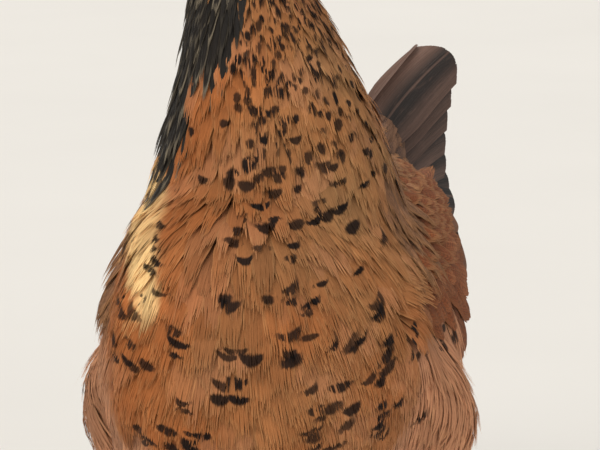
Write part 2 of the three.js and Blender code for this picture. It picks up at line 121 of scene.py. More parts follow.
def srgb(red, green, blue):
    """A colour named by its everyday 0 to 255 values, as the linear values that the shaders take."""
    parts = [v / 255 for v in (red, green, blue)]
    linear = [v / 12.92 if v <= 0.04045 else ((v + 0.055) / 1.055) ** 2.4 for v in parts]
    return (*linear, 1.0)


ORANGE_BUFF = srgb(172, 102, 54)
TAN_BUFF = srgb(162, 116, 74)
# GOLD is painted sunlight on her right shoulder; it also gives a faint tint to the head's feathers and the
# pale rims of buff feathers
GOLD = srgb(255, 214, 150)
PINK_BUFF = srgb(196, 138, 102)
SPOT_BROWN = srgb(22, 12, 9)
HACKLE_BLACK = srgb(31, 26, 22)
HACKLE_EDGE = srgb(142, 130, 110)
MAHOGANY = srgb(132, 69, 33)
SADDLE_BROWN = srgb(146, 104, 74)
PENCIL_BROWN = srgb(46, 28, 20)
SLATE = srgb(27, 24, 24)
MAUVE_GREY = srgb(120, 92, 80)
MAUVE_BROWN = srgb(124, 92, 76)
COMB_RED = srgb(176, 34, 28)
FACE_RED = srgb(182, 58, 46)
LOBE_RED = srgb(190, 84, 70)
LEG_YELLOW = srgb(196, 166, 100)
LEG_GREY = srgb(160, 142, 98)
HORN_PALE = srgb(176, 146, 104)
HORN_DARK = srgb(82, 62, 44)
NOSTRIL_SHADE = (0.01, 0.007, 0.005, 1)
IRIS_ORANGE = srgb(196, 96, 30)
IRIS_RIM = (0.03, 0.012, 0.008, 1)
PUPIL_BLACK = (0.004, 0.003, 0.003, 1)
FLOOR_WHITE = srgb(230, 229, 227)

# ---- small mathematics on arrays of points ----


def unit(vectors):
    return vectors / np.maximum(np.linalg.norm(vectors, axis=-1, keepdims=True), 1e-9)


def dot(a, b):
    return (a * b).sum(-1, keepdims=True)


def along_surface(vectors, normals):
    """The part of each vector that lies in the surface with that normal."""
    return unit(vectors - normals * dot(vectors, normals))


def smoothstep(low, high, value):
    share = np.clip((value - low) / (high - low), 0, 1)
    return share * share * (3 - 2 * share)


def blend_values(value, places, results):
    return np.interp(value, places, results)


def between(span, share):
    return span[0] + (span[1] - span[0]) * share


def blended(first, second, share):
    """The first rows of numbers turned into the second by each row's share."""
    return first * (1 - share[:, None]) + second * share[:, None]


def ripple(points, scale, seed=0.0):
    """A smooth wandering value from about -1 to 1 over space."""
    p = points * scale
    a = np.sin(p[:, 0] * 1.7 + seed) * np.cos(p[:, 1] * 1.3 - 2 * seed)
    b = np.sin(p[:, 1] * 2.9 + p[:, 2] * 2.1 + 3 * seed)
    c = np.cos(p[:, 2] * 1.9 - p[:, 0] * 2.3 + 5 * seed)
    return (a + b + c) / 2.2


# ---- meshes from arrays ----


def piece_from_arrays(name, points, quads, attributes, materials, material_of=None, uv=None):
    """One object from arrays: quads holds four point numbers a face, and attributes values for each point."""
    mesh = bpy.data.meshes.new(name)
    mesh.vertices.add(len(points))
    mesh.vertices.foreach_set("co", np.ascontiguousarray(points, np.float32).ravel())
    mesh.loops.add(quads.size)
    mesh.loops.foreach_set("vertex_index", quads.astype(np.int32).ravel())
    mesh.polygons.add(len(quads))
    mesh.polygons.foreach_set("loop_start", np.arange(0, quads.size, quads.shape[1], dtype=np.int32))
    mesh.update(calc_edges=True)
    mesh.polygons.foreach_set("use_smooth", np.ones(len(quads), bool))
    for material in materials:
        mesh.materials.append(material)
    if material_of is not None:
        mesh.polygons.foreach_set("material_index", material_of.astype(np.int32))
    for key, values in attributes.items():
        layer = mesh.attributes.new(key, "FLOAT", "POINT")
        layer.data.foreach_set("value", np.ascontiguousarray(values, np.float32).ravel())
    if uv is not None:
        layer = mesh.uv_layers.new(name="OFBake")
        layer.data.foreach_set("uv", np.ascontiguousarray(uv[quads.ravel()], np.float32).ravel())
    made = bpy.data.objects.new(name, mesh)
    bpy.context.collection.objects.link(made)
    return made


def node_mesh(name, growth=0.0):
    """A welded copy of a solid part's mesh, grown a little along its normals."""
    mesh = bmesh.new()
    mesh.from_mesh(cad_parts[name].data)
    bmesh.ops.remove_doubles(mesh, verts=mesh.verts, dist=1e-5)
    mesh.normal_update()
    for vertex in mesh.verts:
        vertex.co += vertex.normal * growth
    return mesh


def voxel_arrays(names, voxel, growth, extra=()):
    """Joins solid parts, and extra lumps of given half sizes, into the points and quads of one even skin."""
    whole = bmesh.new()
    for name in names:
        part = node_mesh(name, growth)
        carrier = bpy.data.meshes.new("part")
        part.to_mesh(carrier)
        part.free()
        whole.from_mesh(carrier)
        bpy.data.meshes.remove(carrier)
    for place, sizes in extra:
        matrix = Matrix.Translation(place) @ Matrix.Diagonal((*sizes, 1))
        bmesh.ops.create_icosphere(whole, subdivisions=3, radius=1, matrix=matrix)
    mesh = bpy.data.meshes.new("form")
    whole.to_mesh(mesh)
    whole.free()
    carrier = bpy.data.objects.new("form", mesh)
    bpy.context.collection.objects.link(carrier)
    remesh = carrier.modifiers.new("even", "REMESH")
    remesh.mode = "VOXEL"
    remesh.voxel_size = voxel
    shown = carrier.evaluated_get(bpy.context.evaluated_depsgraph_get())
    made = bpy.data.meshes.new_from_object(shown)
    points = np.empty(len(made.vertices) * 3, np.float32)
    made.vertices.foreach_get("co", points)
    quads = np.empty(len(made.loops), np.int32)
    made.loops.foreach_get("vertex_index", quads)
    bpy.data.objects.remove(carrier)
    bpy.data.meshes.remove(mesh)
    bpy.data.meshes.remove(made)
    return points.reshape(-1, 3).astype(float), quads.reshape(-1, 4)


def smoothed(points, quads, rounds):
    """Evens out the points by moving each half way to the middle of its neighbours."""
    ends = np.concatenate([quads[:, [i, (i + 1) % 4]] for i in range(4)])
    count = np.bincount(ends[:, 0], minlength=len(points))[:, None]
    points = points.copy()
    for _ in range(rounds):
        sums = [np.bincount(ends[:, 0], points[ends[:, 1], axis], len(points)) for axis in range(3)]
        total = np.stack(sums, 1)
        points += 0.5 * (total / np.maximum(count, 1) - points)
    return points


def point_normals(points, quads):
    a, b, c, d = (points[quads[:, i]] for i in range(4))
    faces = np.cross(c - a, d - b)
    normals = np.zeros_like(points)
    for i in range(4):
        for axis in range(3):
            normals[:, axis] += np.bincount(quads[:, i], faces[:, axis], len(points))
    return unit(normals)


class Surface:
    """A skin that feathers follow: it finds the nearest place and the smooth normal there."""

    def __init__(self, points, quads):
        self.points = points
        self.quads = quads
        self.normals = point_normals(points, quads)
        self.tree = BVHTree.FromPolygons(points.tolist(), quads.tolist())
        self.face_uv = np.zeros((len(quads), 2))

    def nearest(self, places):
        found = np.empty((len(places), 3))
        faces = np.empty(len(places), int)
        for i, place in enumerate(places):
            where, _, face, _ = self.tree.find_nearest(place)
            found[i] = where
            faces[i] = face
        return found, self.normal_at(found, faces), faces

    def normal_at(self, places, faces):
        corners = self.quads[faces]
        gap = np.linalg.norm(self.points[corners] - places[:, None, :], axis=-1)
        weight = 1 / (gap + 1e-4)
        return unit((self.normals[corners] * weight[..., None]).sum(1))


# ---- places on the bird, from its solid parts ----


def middle_of(name):
    low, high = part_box(name)
    return np.array((low + high) / 2)


BIRD_LOW, BIRD_HIGH = (np.array(corner) for corner in CAD_BOX)
TRUNK_LOW, TRUNK_HIGH = (np.array(corner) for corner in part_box("trunk"))
NECK_LOW, NECK_HIGH = (np.array(corner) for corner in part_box("neck"))
HEAD_LOW = np.array(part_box("head")[0])
TAIL_LOW, TAIL_HIGH = (np.array(corner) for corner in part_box("tail"))
TAIL_ROOT = np.array([0, TAIL_HIGH[1] - TAIL_ROOT_AHEAD, TAIL_ROOT_HEIGHT])
WING_LOW, WING_HIGH = (np.array(corner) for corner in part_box("wing_left"))
EYES = {side: middle_of(f"eye_{side}") for side, _ in SIDES}
HEAD_MIDDLE = (EYES["left"] + EYES["right"]) / 2
LOOK = np.array([math.sin(HEAD_TURN), -math.cos(HEAD_TURN), 0.0])  # the way the beak points
LOOK_LEFT = np.array([math.cos(HEAD_TURN), math.sin(HEAD_TURN), 0.0])
NECK_BASE = NECK_LOW[2]
NECK_TOP = NECK_HIGH[2]


def up_neck(z):
    """0 at the base of the neck, 1 at the head."""
    return (z - NECK_BASE) / (NECK_TOP - NECK_BASE)


def neck_middle(z):
    """The middle of the neck at each height."""
    share = up_neck(z)
    x = blend_values(share, [-0.3, 0, 0.34, 0.85, 1.1], [0.002, 0.004, 0.007, 0.004, 0.003])
    y = blend_values(
        share, [-0.3, 0, 0.34, 0.61, 0.85, 1.1], [-0.101, -0.115, -0.131, -0.142, -0.148, -0.152]
    )
    return np.stack([x, y], -1)


def throat_angle(points):
    """How far round the neck a point is from the throat, in degrees, to her left counted positive."""
    around = points[:, :2] - neck_middle(points[:, 2])
    angle = np.degrees(np.arctan2(around[:, 0], -around[:, 1]))
    turn = blend_values(up_neck(points[:, 2]), [-0.3, 0, 0.34, 0.61, 0.85, 1.05], [0, 6, 16, 30, 44, 52])
    return (angle - turn + 180) % 360 - 180


# ---- the skin ----


def skin_depth(points):
    """How far the skin lies inside the solid parts: the coat's depth, less where a part is thin."""
    z = points[:, 2]
    depth = np.full(len(points), COAT_DEPTH["trunk"])
    neck = smoothstep(NECK_BASE, NECK_BASE + 0.04, z)
    depth = depth * (1 - neck) + COAT_DEPTH["neck"] * neck
    depth *= blend_values(up_neck(z), [0.5, 0.95, 1.1], [1, 0.5, 0.2])
    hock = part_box("shank_left")[1].z
    depth *= smoothstep(hock - 0.012, hock + 0.035, z)
    right_front = smoothstep(-0.045, -0.068, points[:, 0]) * smoothstep(-0.02, -0.06, points[:, 1])
    right_front *= blend_values(z, [0.160, 0.195, 0.240, 0.262], [0, 1, 1, 0])
    return depth + DRAWN_IN * right_front


def body_surface():
    """The skin of trunk, neck, wings and thighs, with a rounded lump at the tail's root."""
    tail_root = (TAIL_ROOT + np.array([0.001, 0.034, 0.005]), (0.026, 0.050, 0.034))
    names = [name for name in FLESH if not name.startswith(("shank", "toe", "tail"))]
    points, quads = voxel_arrays(names, BODY_VOXEL, JOIN_GROWTH, [tail_root])
    points = smoothed(points, quads, 5)
    depth = skin_depth(points)
    points = points - point_normals(points, quads) * depth[:, None]
    return Surface(smoothed(points, quads, 3), quads)


def head_surface():
    """The skin of the head in finer faces, drawn in below so that it ends under the neck's coat."""
    points, quads = voxel_arrays(["head"], HEAD_VOXEL, 0)
    points = smoothed(points, quads, 3)
    collar = smoothstep(HEAD_LOW[2] + 0.016, HEAD_LOW[2], points[:, 2])
    points -= point_normals(points, quads) * (COAT_DEPTH["head"] + 0.003 * collar)[:, None]
    return Surface(points, quads)


def toe_axis(side, toe):
    """A toe's start under the shank and its direction along the floor."""
    low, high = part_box(f"shank_{side}")
    foot = np.array([(low.x + high.x) / 2, low.y + 0.0125, 0])
    claw = middle_of(f"claw_{side}_{toe}")
    ahead = unit(np.array([claw[0] - foot[0], claw[1] - foot[1], 0]))
    return foot, ahead


def leg_surface(side):
    """A shank and its toes with raised scutes, and for each point the scute it is on and how far in front."""
    names = [f"shank_{side}"] + [f"toe_{side}_{toe}" for toe in TOES]
    points, quads = voxel_arrays(names, LEG_VOXEL, JOIN_GROWTH)
    points = smoothed(points, quads, 2)
    normals = point_normals(points, quads)
    foot_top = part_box(f"shank_{side}")[0].z + 0.018
    scute = points[:, 2] / SHANK_SCUTE
    front = smoothstep(0.25, -0.25, normals[:, 1])
    for toe in TOES:
        foot, ahead = toe_axis(side, toe)
        out = (points - foot) @ ahead
        aside = np.abs((points - foot) @ np.array([-ahead[1], ahead[0], 0]))
        on_toe = (points[:, 2] < foot_top) & (out > 0.009) & (aside < 0.0075)
        scute = np.where(on_toe, out / TOE_SCUTE, scute)
        front = np.where(on_toe, smoothstep(-0.1, 0.35, normals[:, 2]), front)
    # Each scute is thickest at its start, where it laps over the last; the soles stay flat
    rise = front * (SCUTE_RISE * (1 - scute % 1.0) ** 1.5 - SCUTE_DIP)
    points = points + normals * (rise * (points[:, 2] > 0.0008))[:, None]
    points[:, 2] = np.maximum(points[:, 2], 0)
    return Surface(points, quads), scute, front


# ---- which way the feathers lie, and what they look like ----

REGIONS = ("neck", "trunk", "wing_left", "wing_right", "thigh_left", "thigh_right", "tail")


def is_part(parts, word):
    return np.char.startswith(parts, word)


def part_tree(name):
    mesh = node_mesh(name)
    tree = BVHTree.FromBMesh(mesh)
    mesh.free()
    return tree


def nearest_part(places):
    """The name of the solid part that each place is nearest to."""
    gaps = np.array([[TREES[name].find_nearest(place)[3] for name in REGIONS] for place in places])
    return np.array(REGIONS)[gaps.argmin(1)]


def lie_of_coat(points, normals, parts):
    """The direction that feathers point in at each place, along the surface."""
    x, y, z = points.T
    one = np.ones(len(x))
    # Back along the body, and on the breast down and out from a line a little to her left
    front = smoothstep(TRUNK_LOW[1] + 0.19, TRUNK_LOW[1] + 0.08, y)
    spread = blend_values(z, [0.14, 0.20, 0.26], [0.55, 0.62, 0.30]) * front + 0.20 * (1 - front)
    wish = np.stack([spread * (x - 0.010 * front) / 0.08, 1 - 0.86 * front, -0.35 - 0.65 * front], -1)
    # Down the neck
    neck = smoothstep(NECK_BASE - 0.01, NECK_BASE + 0.04, z) * (y < TRUNK_LOW[1] + 0.17)
    wish = blended(wish, np.stack([0.3 * x / 0.05, 0.12 * one, -one], -1), neck)
    # Along the folded wing, and down on the thigh and on the loose feathers before it
    wing = is_part(parts, "wing")
    slope = blend_values(y, [WING_LOW[1], WING_LOW[1] + 0.12, WING_HIGH[1]], [-0.75, -0.28, 0.02])
    wish = np.where(wing[:, None], np.stack([0 * x, one, slope], -1), wish)
    thigh = is_part(parts, "thigh") | (wing & (z < 0.215) & (y < -0.045))
    wish = np.where(thigh[:, None], np.array([0, 0.35, -1.0]), wish)
    # Up onto the tail, and down under it and wherever the body faces back
    rump = smoothstep(TAIL_LOW[1] - 0.01, TAIL_LOW[1] + 0.05, y) * (z > TAIL_LOW[2])
    wish = blended(wish, np.array([0, 1, 0.25]), rump)
    vent = smoothstep(TRUNK_HIGH[1] - 0.11, TRUNK_HIGH[1] - 0.04, y) * smoothstep(0.215, 0.190, z)
    wish = blended(wish, np.stack([0.3 * x / 0.05, 0.5 * one, -one], -1), vent)
    facing_back = smoothstep(0.60, 0.88, normals[:, 1]) * (parts != "tail")
    wish = blended(wish, np.array([0, -0.2, -1.0]), facing_back)
    return along_surface(wish, normals)


def bib_share(points):
    """0 on the buff front of the body, 1 on her sides, where the wings and the flanks begin."""
    z = points[:, 2]
    angle = throat_angle(points) + 4 * ripple(points, 160, 0.4)
    to_left = blend_values(z, [0.15, 0.18, 0.19, 0.205, 0.22, 0.245, 0.27], [57, 58, 64, 70, 76, 71, 72])
    to_right = blend_values(z, [0.15, 0.17, 0.20, 0.225, 0.24, 0.25, 0.27], [30, 33, 40, 44, 60, 68, 90])
    return np.maximum(smoothstep(0, 6, angle - to_left), smoothstep(0, 6, -angle - to_right))


def markings(points, parts):
    """The bird's colours over its body, with a painted patch of sunlight on her right shoulder: shares from 0
    to 1 of each kind of feather at each place.
    """
    x, y, z = points.T
    share = up_neck(z)
    # Black hackle behind an edge on each side of the neck, and down over the shoulders behind
    angle = throat_angle(points) + 5 * ripple(points, 160, 0.4)
    right_edge = blend_values(
        share, [0, 0.15, 0.30, 0.39, 0.45, 0.52, 0.80, 1.1], [45, 48, 52, 66, 70, 34, 35, 62]
    )
    left_edge = blend_values(share, [0, 0.34, 0.61, 0.85, 1.1], [150, 130, 104, 84, 68])
    black = np.maximum(smoothstep(0, 6, -angle - right_edge), smoothstep(0, 6, angle - left_edge))
    cape_end = 0.06 - 0.34 * smoothstep(100, 145, np.abs(angle))
    from_neck = np.linalg.norm(points[:, :2] - neck_middle(z), axis=1)
    black = black * smoothstep(cape_end - 0.03, cape_end + 0.04, share) * smoothstep(0.100, 0.080, from_neck)
    # Pencilled brown on wings, back and tail
    side = bib_share(points) * smoothstep(0.285, 0.270, z)
    behind = smoothstep(TRUNK_LOW[1] + 0.10, TRUNK_LOW[1] + 0.15, y)
    back = behind * smoothstep(0.205, 0.225, z + 0.1 * (y - TRUNK_LOW[1] - 0.15))
    tucked = smoothstep(0.201, 0.193, z + 0.003 * ripple(points, 90, 3.0)) * smoothstep(-0.035, -0.065, y)
    on_wing = is_part(parts, "wing") * (1 - tucked) * np.maximum(side, behind)
    shoulder = side * smoothstep(0.201, 0.209, z)
    brown = np.where(parts == "tail", 1.0, np.maximum.reduce([on_wing, back, shoulder]))
    # Loose pinkish feathers low on the body, on the thighs and flanks, and under the tail
    fluff = smoothstep(0.158, 0.138, z + 0.02 * ripple(points, 60, 1.0))
    fluff = np.maximum(fluff, is_part(parts, "thigh") * 1.0)
    fluff = np.maximum(fluff, side * (1 - shoulder))
    rear = smoothstep(TRUNK_HIGH[1] - 0.12, TRUNK_HIGH[1] - 0.05, y) * smoothstep(0.235, 0.205, z)
    fluff = np.maximum(fluff, rear) * (1 - brown)
    # Warmer buff toward her right
    warm = 0.55 + 0.5 * smoothstep(0.02, -0.03, x) + 0.25 * ripple(points, 45, 2.0)
    warm -= 0.35 * smoothstep(0.01, 0.05, x) * smoothstep(0.21, 0.26, z)
    # Painted sunlight: a pale gold crescent of sun over her right shoulder, which keeps the brown away
    middle = blend_values(
        z, [0.222, 0.232, 0.242, 0.252, 0.264, 0.278], [-0.034, -0.037, -0.042, -0.046, -0.046, -0.043]
    )
    reach = blend_values(z, [0.218, 0.226, 0.246, 0.266, 0.285], [0.003, 0.007, 0.012, 0.012, 0.004])
    gold = smoothstep(1.15, 0.75, np.abs(x - middle) / reach)
    gold *= smoothstep(0.216, 0.226, z) * smoothstep(0.288, 0.274, z)
    gold *= smoothstep(TRUNK_LOW[1] + 0.13, TRUNK_LOW[1] + 0.07, y)
    return {
        "black": black,
        "brown": brown * (1 - gold),
        "fluff": fluff,
        "warm": np.clip(warm, 0, 1),
        "gold": gold,
    }


# ---- shader building ----


class Shader:
    """Places nodes in a tree and wires them up."""

    def __init__(self, tree):
        self.tree = tree

    def wire(self, socket, value):
        if isinstance(value, bpy.types.NodeSocket):
            self.tree.links.new(value, socket)
        else:
            socket.default_value = value

    def add(self, kind, inputs=None, **settings):
        made = self.tree.nodes.new(kind)
        for key, value in settings.items():
            setattr(made, key, value)
        for key, value in (inputs or {}).items():
            self.wire(made.inputs[key], value)
        return made

    def math(self, operation, a, b=0.0, c=0.0):
        return self.add("ShaderNodeMath", {0: a, 1: b, 2: c}, operation=operation).outputs[0]

    def attribute(self, name):
        return self.add("ShaderNodeAttribute", attribute_name=name).outputs["Fac"]

    def point(self, x, y, z):
        return self.add("ShaderNodeCombineXYZ", {0: x, 1: y, 2: z}).outputs[0]

    def noise(self, vector, scale, detail=2.0, roughness=0.5):
        values = {"Vector": vector, "Scale": scale, "Detail": detail, "Roughness": roughness}
        return self.add("ShaderNodeTexNoise", values).outputs["Fac"]

    def step(self, value, low, high, start=0.0, end=1.0):
        """A smooth step from start to end as the value goes from low to high."""
        values = {"Value": value, "From Min": low, "From Max": high, "To Min": start, "To Max": end}
        return self.add("ShaderNodeMapRange", values, interpolation_type="SMOOTHSTEP").outputs[0]

    def mix(self, share, first, second, blend="MIX"):
        made = self.add("ShaderNodeMix", data_type="RGBA", blend_type=blend)
        self.wire(made.inputs[0], share)
        self.wire(made.inputs[6], first)
        self.wire(made.inputs[7], second)
        return made.outputs[2]

    def lit(self, colour, strength):
        """The colour made lighter or darker by a factor."""
        grey = self.add("ShaderNodeCombineColor", {0: strength, 1: strength, 2: strength}).outputs[0]
        return self.mix(1.0, colour, grey, "MULTIPLY")

    def group(self, tree, **inputs):
        made = self.add("ShaderNodeGroup")
        made.node_tree = tree
        for key, value in inputs.items():
            self.wire(made.inputs[key.replace("_", " ")], value)
        return made

    def bump(self, height, strength, distance):
        values = {"Height": height, "Strength": strength, "Distance": distance}
        return self.add("ShaderNodeBump", values).outputs["Normal"]


def shared_effect(name, inputs, outputs, build):
    """A node group of plain values: build takes the shader and the inputs, and gives the results by name."""
    tree = bpy.data.node_groups.new(name, "ShaderNodeTree")
    for key, value in inputs.items():
        socket = tree.interface.new_socket(name=key, in_out="INPUT", socket_type="NodeSocketFloat")
        socket.default_value = value
    for key in outputs:
        tree.interface.new_socket(name=key, in_out="OUTPUT", socket_type="NodeSocketFloat")
    shader = Shader(tree)
    entry = shader.add("NodeGroupInput")
    leave = shader.add("NodeGroupOutput")
    results = build(shader, {key: entry.outputs[key] for key in inputs})
    for key, value in results.items():
        shader.wire(leave.inputs[key], value)
    return tree


def build_barbs(shader, given):
    """Fine barbs that run along the vane and sweep out from its shaft."""
    aside = shader.math("ABSOLUTE", given["Across"])
    swept = shader.math("MULTIPLY_ADD", aside, -0.35, given["Along"])
    lines = shader.math("MULTIPLY", given["Across"], given["Fineness"])
    place = shader.point(
        shader.math("MULTIPLY_ADD", given["Strand"], 9.0, lines),
        shader.math("MULTIPLY", swept, 1.8),
        shader.math("MULTIPLY", given["Tone"], 37.0),
    )
    streak = shader.step(shader.noise(place, 1.0, 3.0, 0.6), 0.3, 0.7)
    return {"Streak": streak}


def over_feather(shader, given, across, along, tone):
    """A place for a pattern, from where on the feather it is and which feather it is."""
    scales = {"Across": across, "Along": along, "Tone": tone}
    return shader.point(*(shader.math("MULTIPLY", given[key], scale) for key, scale in scales.items()))


def build_spot(shader, given):
    """The dark bar of a spot, with an edge that frays along the barbs."""
    place = over_feather(shader, given, 6.0, 4.0, 61.0)
    wander = shader.math("SUBTRACT", shader.noise(place, 1.3, 3.0), 0.5)
    off = shader.math("ABSOLUTE", shader.math("MULTIPLY_ADD", wander, 1.1, given["Off"]))
    return {"Mask": shader.step(off, 0.65, 1.35, 1.0, 0.0)}


def build_pencilling(shader, given):
    """Fine dark lines across a feather, broken and wavy."""
    place = over_feather(shader, given, 2.2, 2.0, 43.0)
    wander = shader.noise(place, 1.6, 3.0, 0.6)
    aside = shader.math("ABSOLUTE", given["Across"])
    phase = shader.math("MULTIPLY_ADD", shader.math("MULTIPLY", aside, aside), 0.20, given["Along"])
    phase = shader.math("MULTIPLY_ADD", wander, 0.16, phase)
    wave = shader.math("SINE", shader.math("MULTIPLY", phase, given["Lines"]))
    line = shader.step(wave, -0.15, 0.6)
    broken = shader.step(wander, 0.28, 0.46)
    return {"Mask": shader.math("MULTIPLY", line, broken)}


def build_lacing(shader, given):
    """The rim of a feather, along its sides and round its tip."""
    aside = shader.math("ABSOLUTE", given["Across"])
    sides = shader.step(shader.math("ADD", aside, given["Width"]), 0.9, 1.1)
    tip = shader.step(shader.math("MULTIPLY_ADD", given["Width"], 0.5, given["Along"]), 0.93, 1.04)
    return {"Mask": shader.math("MAXIMUM", sides, tip)}


def build_pebbles(shader, given):
    """Small close bumps, as on bare skin."""
    where = shader.add("ShaderNodeTexCoord").outputs["Object"]
    cells = shader.add("ShaderNodeTexVoronoi", {"Vector": where, "Scale": given["Scale"]}, feature="F1")
    height = shader.step(cells.outputs["Distance"], 0.0, 0.75, 1.0, 0.0)
    blotch = shader.noise(where, 140.0, 3.0)
    return {"Height": height, "Blotch": blotch}


OVER_VANE = {"Along": 0.5, "Across": 0.0}
OVER_FEATHER = {**OVER_VANE, "Tone": 0.5}
OVER_LOCK = {**OVER_FEATHER, "Strand": 0.5}
BARBS = shared_effect("barb streaks", {**OVER_LOCK, "Fineness": 9.0}, ["Streak"], build_barbs)
SPOT = shared_effect("dark spot", {**OVER_FEATHER, "Off": 0.0}, ["Mask"], build_spot)
PENCILLING = shared_effect("pencilling", {**OVER_FEATHER, "Lines": 46.0}, ["Mask"], build_pencilling)
LACING = shared_effect("lacing", {**OVER_VANE, "Width": 0.2}, ["Mask"], build_lacing)
PEBBLES = shared_effect("skin pebbles", {"Scale": 900.0}, ["Height", "Blotch"], build_pebbles)


class Look(Shader):
    """A new material with its own Principled shader, and the nodes that give it colour and relief."""

    def __init__(self, name, roughness, **constants):
        self.material = bpy.data.materials.new(name)
        self.material.use_nodes = True
        super().__init__(self.material.node_tree)
        self.surface = self.tree.nodes["Principled BSDF"]
        for key, value in {"Roughness": roughness, **constants}.items():
            self.surface.inputs[key.replace("_", " ")].default_value = value

    def finish(self, colour, relief=None, strength=0.0, depth=0.0):
        self.wire(self.surface.inputs["Base Color"], colour)
        if relief is not None:
            self.wire(self.surface.inputs["Normal"], self.bump(relief, strength, depth))
        return self.material


class FeatherLook(Look):
    """A kind of feather: it reads where on the feather each point is, and is streaked along its barbs."""

    def __init__(self, name, roughness, gloss, fineness):
        super().__init__(name, roughness, Specular_IOR_Level=gloss)
        self.at = {key.title(): self.attribute(key) for key in ("along", "across", "tone", "strand")}
        self.streak = self.group(BARBS, **self.at, Fineness=fineness).outputs["Streak"]

    def mask(self, effect, **inputs):
        """The mask of an effect over the feather."""
        asked = {item.name for item in effect.interface.items_tree}
        places = {key: place for key, place in self.at.items() if key in asked}
        return self.group(effect, **places, **inputs).outputs["Mask"]

    def shaft(self, width, strength):
        """A line along the middle of the feather."""
        return self.step(self.math("ABSOLUTE", self.at["Across"]), 0.02, width, strength, 0.0)

    def finish_feather(self, colour, contrast):
        """Adds barbs and painted shade to the colour: darker toward the root, partly the greyer base of a
        real feather and partly painted shade where the feathers above cover it; streaked along the barbs.
        """
        # Painted shade: the covered root of each feather is darkened to about two thirds, as in the shade of
        # the feathers over it, along with its greyer real base
        deep = self.step(self.at["Along"], 0.2, 0.8, 0.68, 1.0)
        tone = self.math("MULTIPLY_ADD", self.at["Tone"], 0.14, 0.93)
        strand = self.math("MULTIPLY_ADD", self.at["Strand"], 0.10, 0.95)
        fine = self.math("MULTIPLY_ADD", self.streak, contrast, 1 - contrast * 0.55)
        light = self.math("MULTIPLY", self.math("MULTIPLY", deep, tone), self.math("MULTIPLY", strand, fine))
        light = self.math("MULTIPLY", light, self.attribute("shade"))
        return self.finish(self.lit(colour, light), self.streak, 0.35, 0.0004)


def buff_layers(look, warm, fluff, gold):
    """The buff of the breast: tan or orange, pinker in the loose feathers, with painted gold sunlight on her
    right shoulder.
    """
    colour = look.mix(warm, TAN_BUFF, ORANGE_BUFF)
    colour = look.mix(fluff, colour, PINK_BUFF)
    return look.mix(gold, colour, GOLD)


def buff_material():
    look = FeatherLook("buff feathers", 0.75, 0.2, 15.0)
    warm, gold, fluff = (look.attribute(key) for key in ("warm", "gold", "fluff"))
    colour = buff_layers(look, warm, fluff, gold)
    rim = look.mask(LACING, Width=0.16)
    colour = look.mix(look.math("MULTIPLY", rim, 0.07), colour, GOLD)
    for suffix in ("", "_next"):
        spot = look.mask(SPOT, Off=look.attribute("off" + suffix))
        mark = look.math("MULTIPLY", spot, look.attribute("mark" + suffix))
        colour = look.mix(mark, colour, SPOT_BROWN)
    return look.finish_feather(colour, 0.25)


def hackle_material():
    look = FeatherLook("black hackle", 0.55, 0.3, 8.0)
    rim = look.mask(LACING, Width=0.34)
    share = look.math("MULTIPLY", rim, look.step(look.at["Tone"], 0.35, 0.95, 0.08, 0.75))
    return look.finish_feather(look.mix(share, HACKLE_BLACK, HACKLE_EDGE), 0.5)


def brown_material():
    look = FeatherLook("pencilled brown feathers", 0.75, 0.2, 8.0)
    colour = look.mix(look.attribute("warm"), SADDLE_BROWN, MAHOGANY)
    lines = look.mask(PENCILLING, Lines=look.attribute("lines"))
    colour = look.mix(look.attribute("mauve"), colour, MAUVE_BROWN)
    colour = look.mix(look.math("MULTIPLY", lines, look.attribute("barred")), colour, PENCIL_BROWN)
    rim = look.mask(LACING, Width=0.30)
    colour = look.mix(look.math("MULTIPLY", rim, look.attribute("laced")), colour, TAN_BUFF)
    colour = look.mix(look.shaft(0.07, 0.2), colour, TAN_BUFF)
    return look.finish_feather(colour, 0.4)


def slate_material():
    look = FeatherLook("slate tail feathers", 0.62, 0.25, 16.0)
    across = look.at["Across"]
    edge = look.step(across, 0.25, 0.95)
    edge = look.math("MAXIMUM", edge, look.step(across, -0.8, -1.0))
    colour = look.mix(look.math("MULTIPLY", edge, 0.5), SLATE, MAUVE_GREY)
    mottle = look.noise(look.point(across, look.at["Along"], look.at["Tone"]), 7.0, 4.0, 0.65)
    colour = look.mix(look.step(mottle, 0.5, 0.75, 0.0, 0.25), colour, MAUVE_GREY)
    colour = look.mix(look.shaft(0.06, 0.4), colour, MAUVE_GREY)
    colour = look.mix(look.attribute("mauve"), colour, MAUVE_GREY)
    return look.finish_feather(colour, 0.4)


def plumed_skin_material():
    """The skin under the coat has the coat's colours, painted sunlight included, darkened as painted shade
    under the feathers.
    """
    look = Look("skin under feathers", 0.8, Specular_IOR_Level=0.2)
    black, brown, fluff, warm, gold = (
        look.attribute(key) for key in ("black", "brown", "fluff", "warm", "gold")
    )
    grain = look.group(PEBBLES, Scale=420.0)
    colour = buff_layers(look, warm, fluff, gold)
    colour = look.mix(brown, colour, MAHOGANY)
    colour = look.mix(black, colour, HACKLE_BLACK)
    # Painted shade: the coat's colours darkened to between about a third and most of their brightness, as in
    # the shade under the feathers, in blotches
    colour = look.lit(colour, look.math("MULTIPLY_ADD", grain.outputs["Blotch"], 0.5, 0.35))
    return look.finish(colour, grain.outputs["Height"], 0.5, 0.0006)


def bare_skin_material(name, colour, scale):
    depth = (0.004, 0.001, 0.0006)
    look = Look(name, 0.55, Specular_IOR_Level=0.3, Subsurface_Weight=0.15, Subsurface_Radius=depth)
    pebbles = look.group(PEBBLES, Scale=scale)
    shade = look.math("MULTIPLY_ADD", pebbles.outputs["Height"], 0.16, 0.86)
    blotch = look.math("MULTIPLY_ADD", pebbles.outputs["Blotch"], 0.6, 0.70)
    light = look.math("MULTIPLY", shade, blotch)
    return look.finish(look.lit(colour, light), pebbles.outputs["Height"], 0.5, 0.0004)


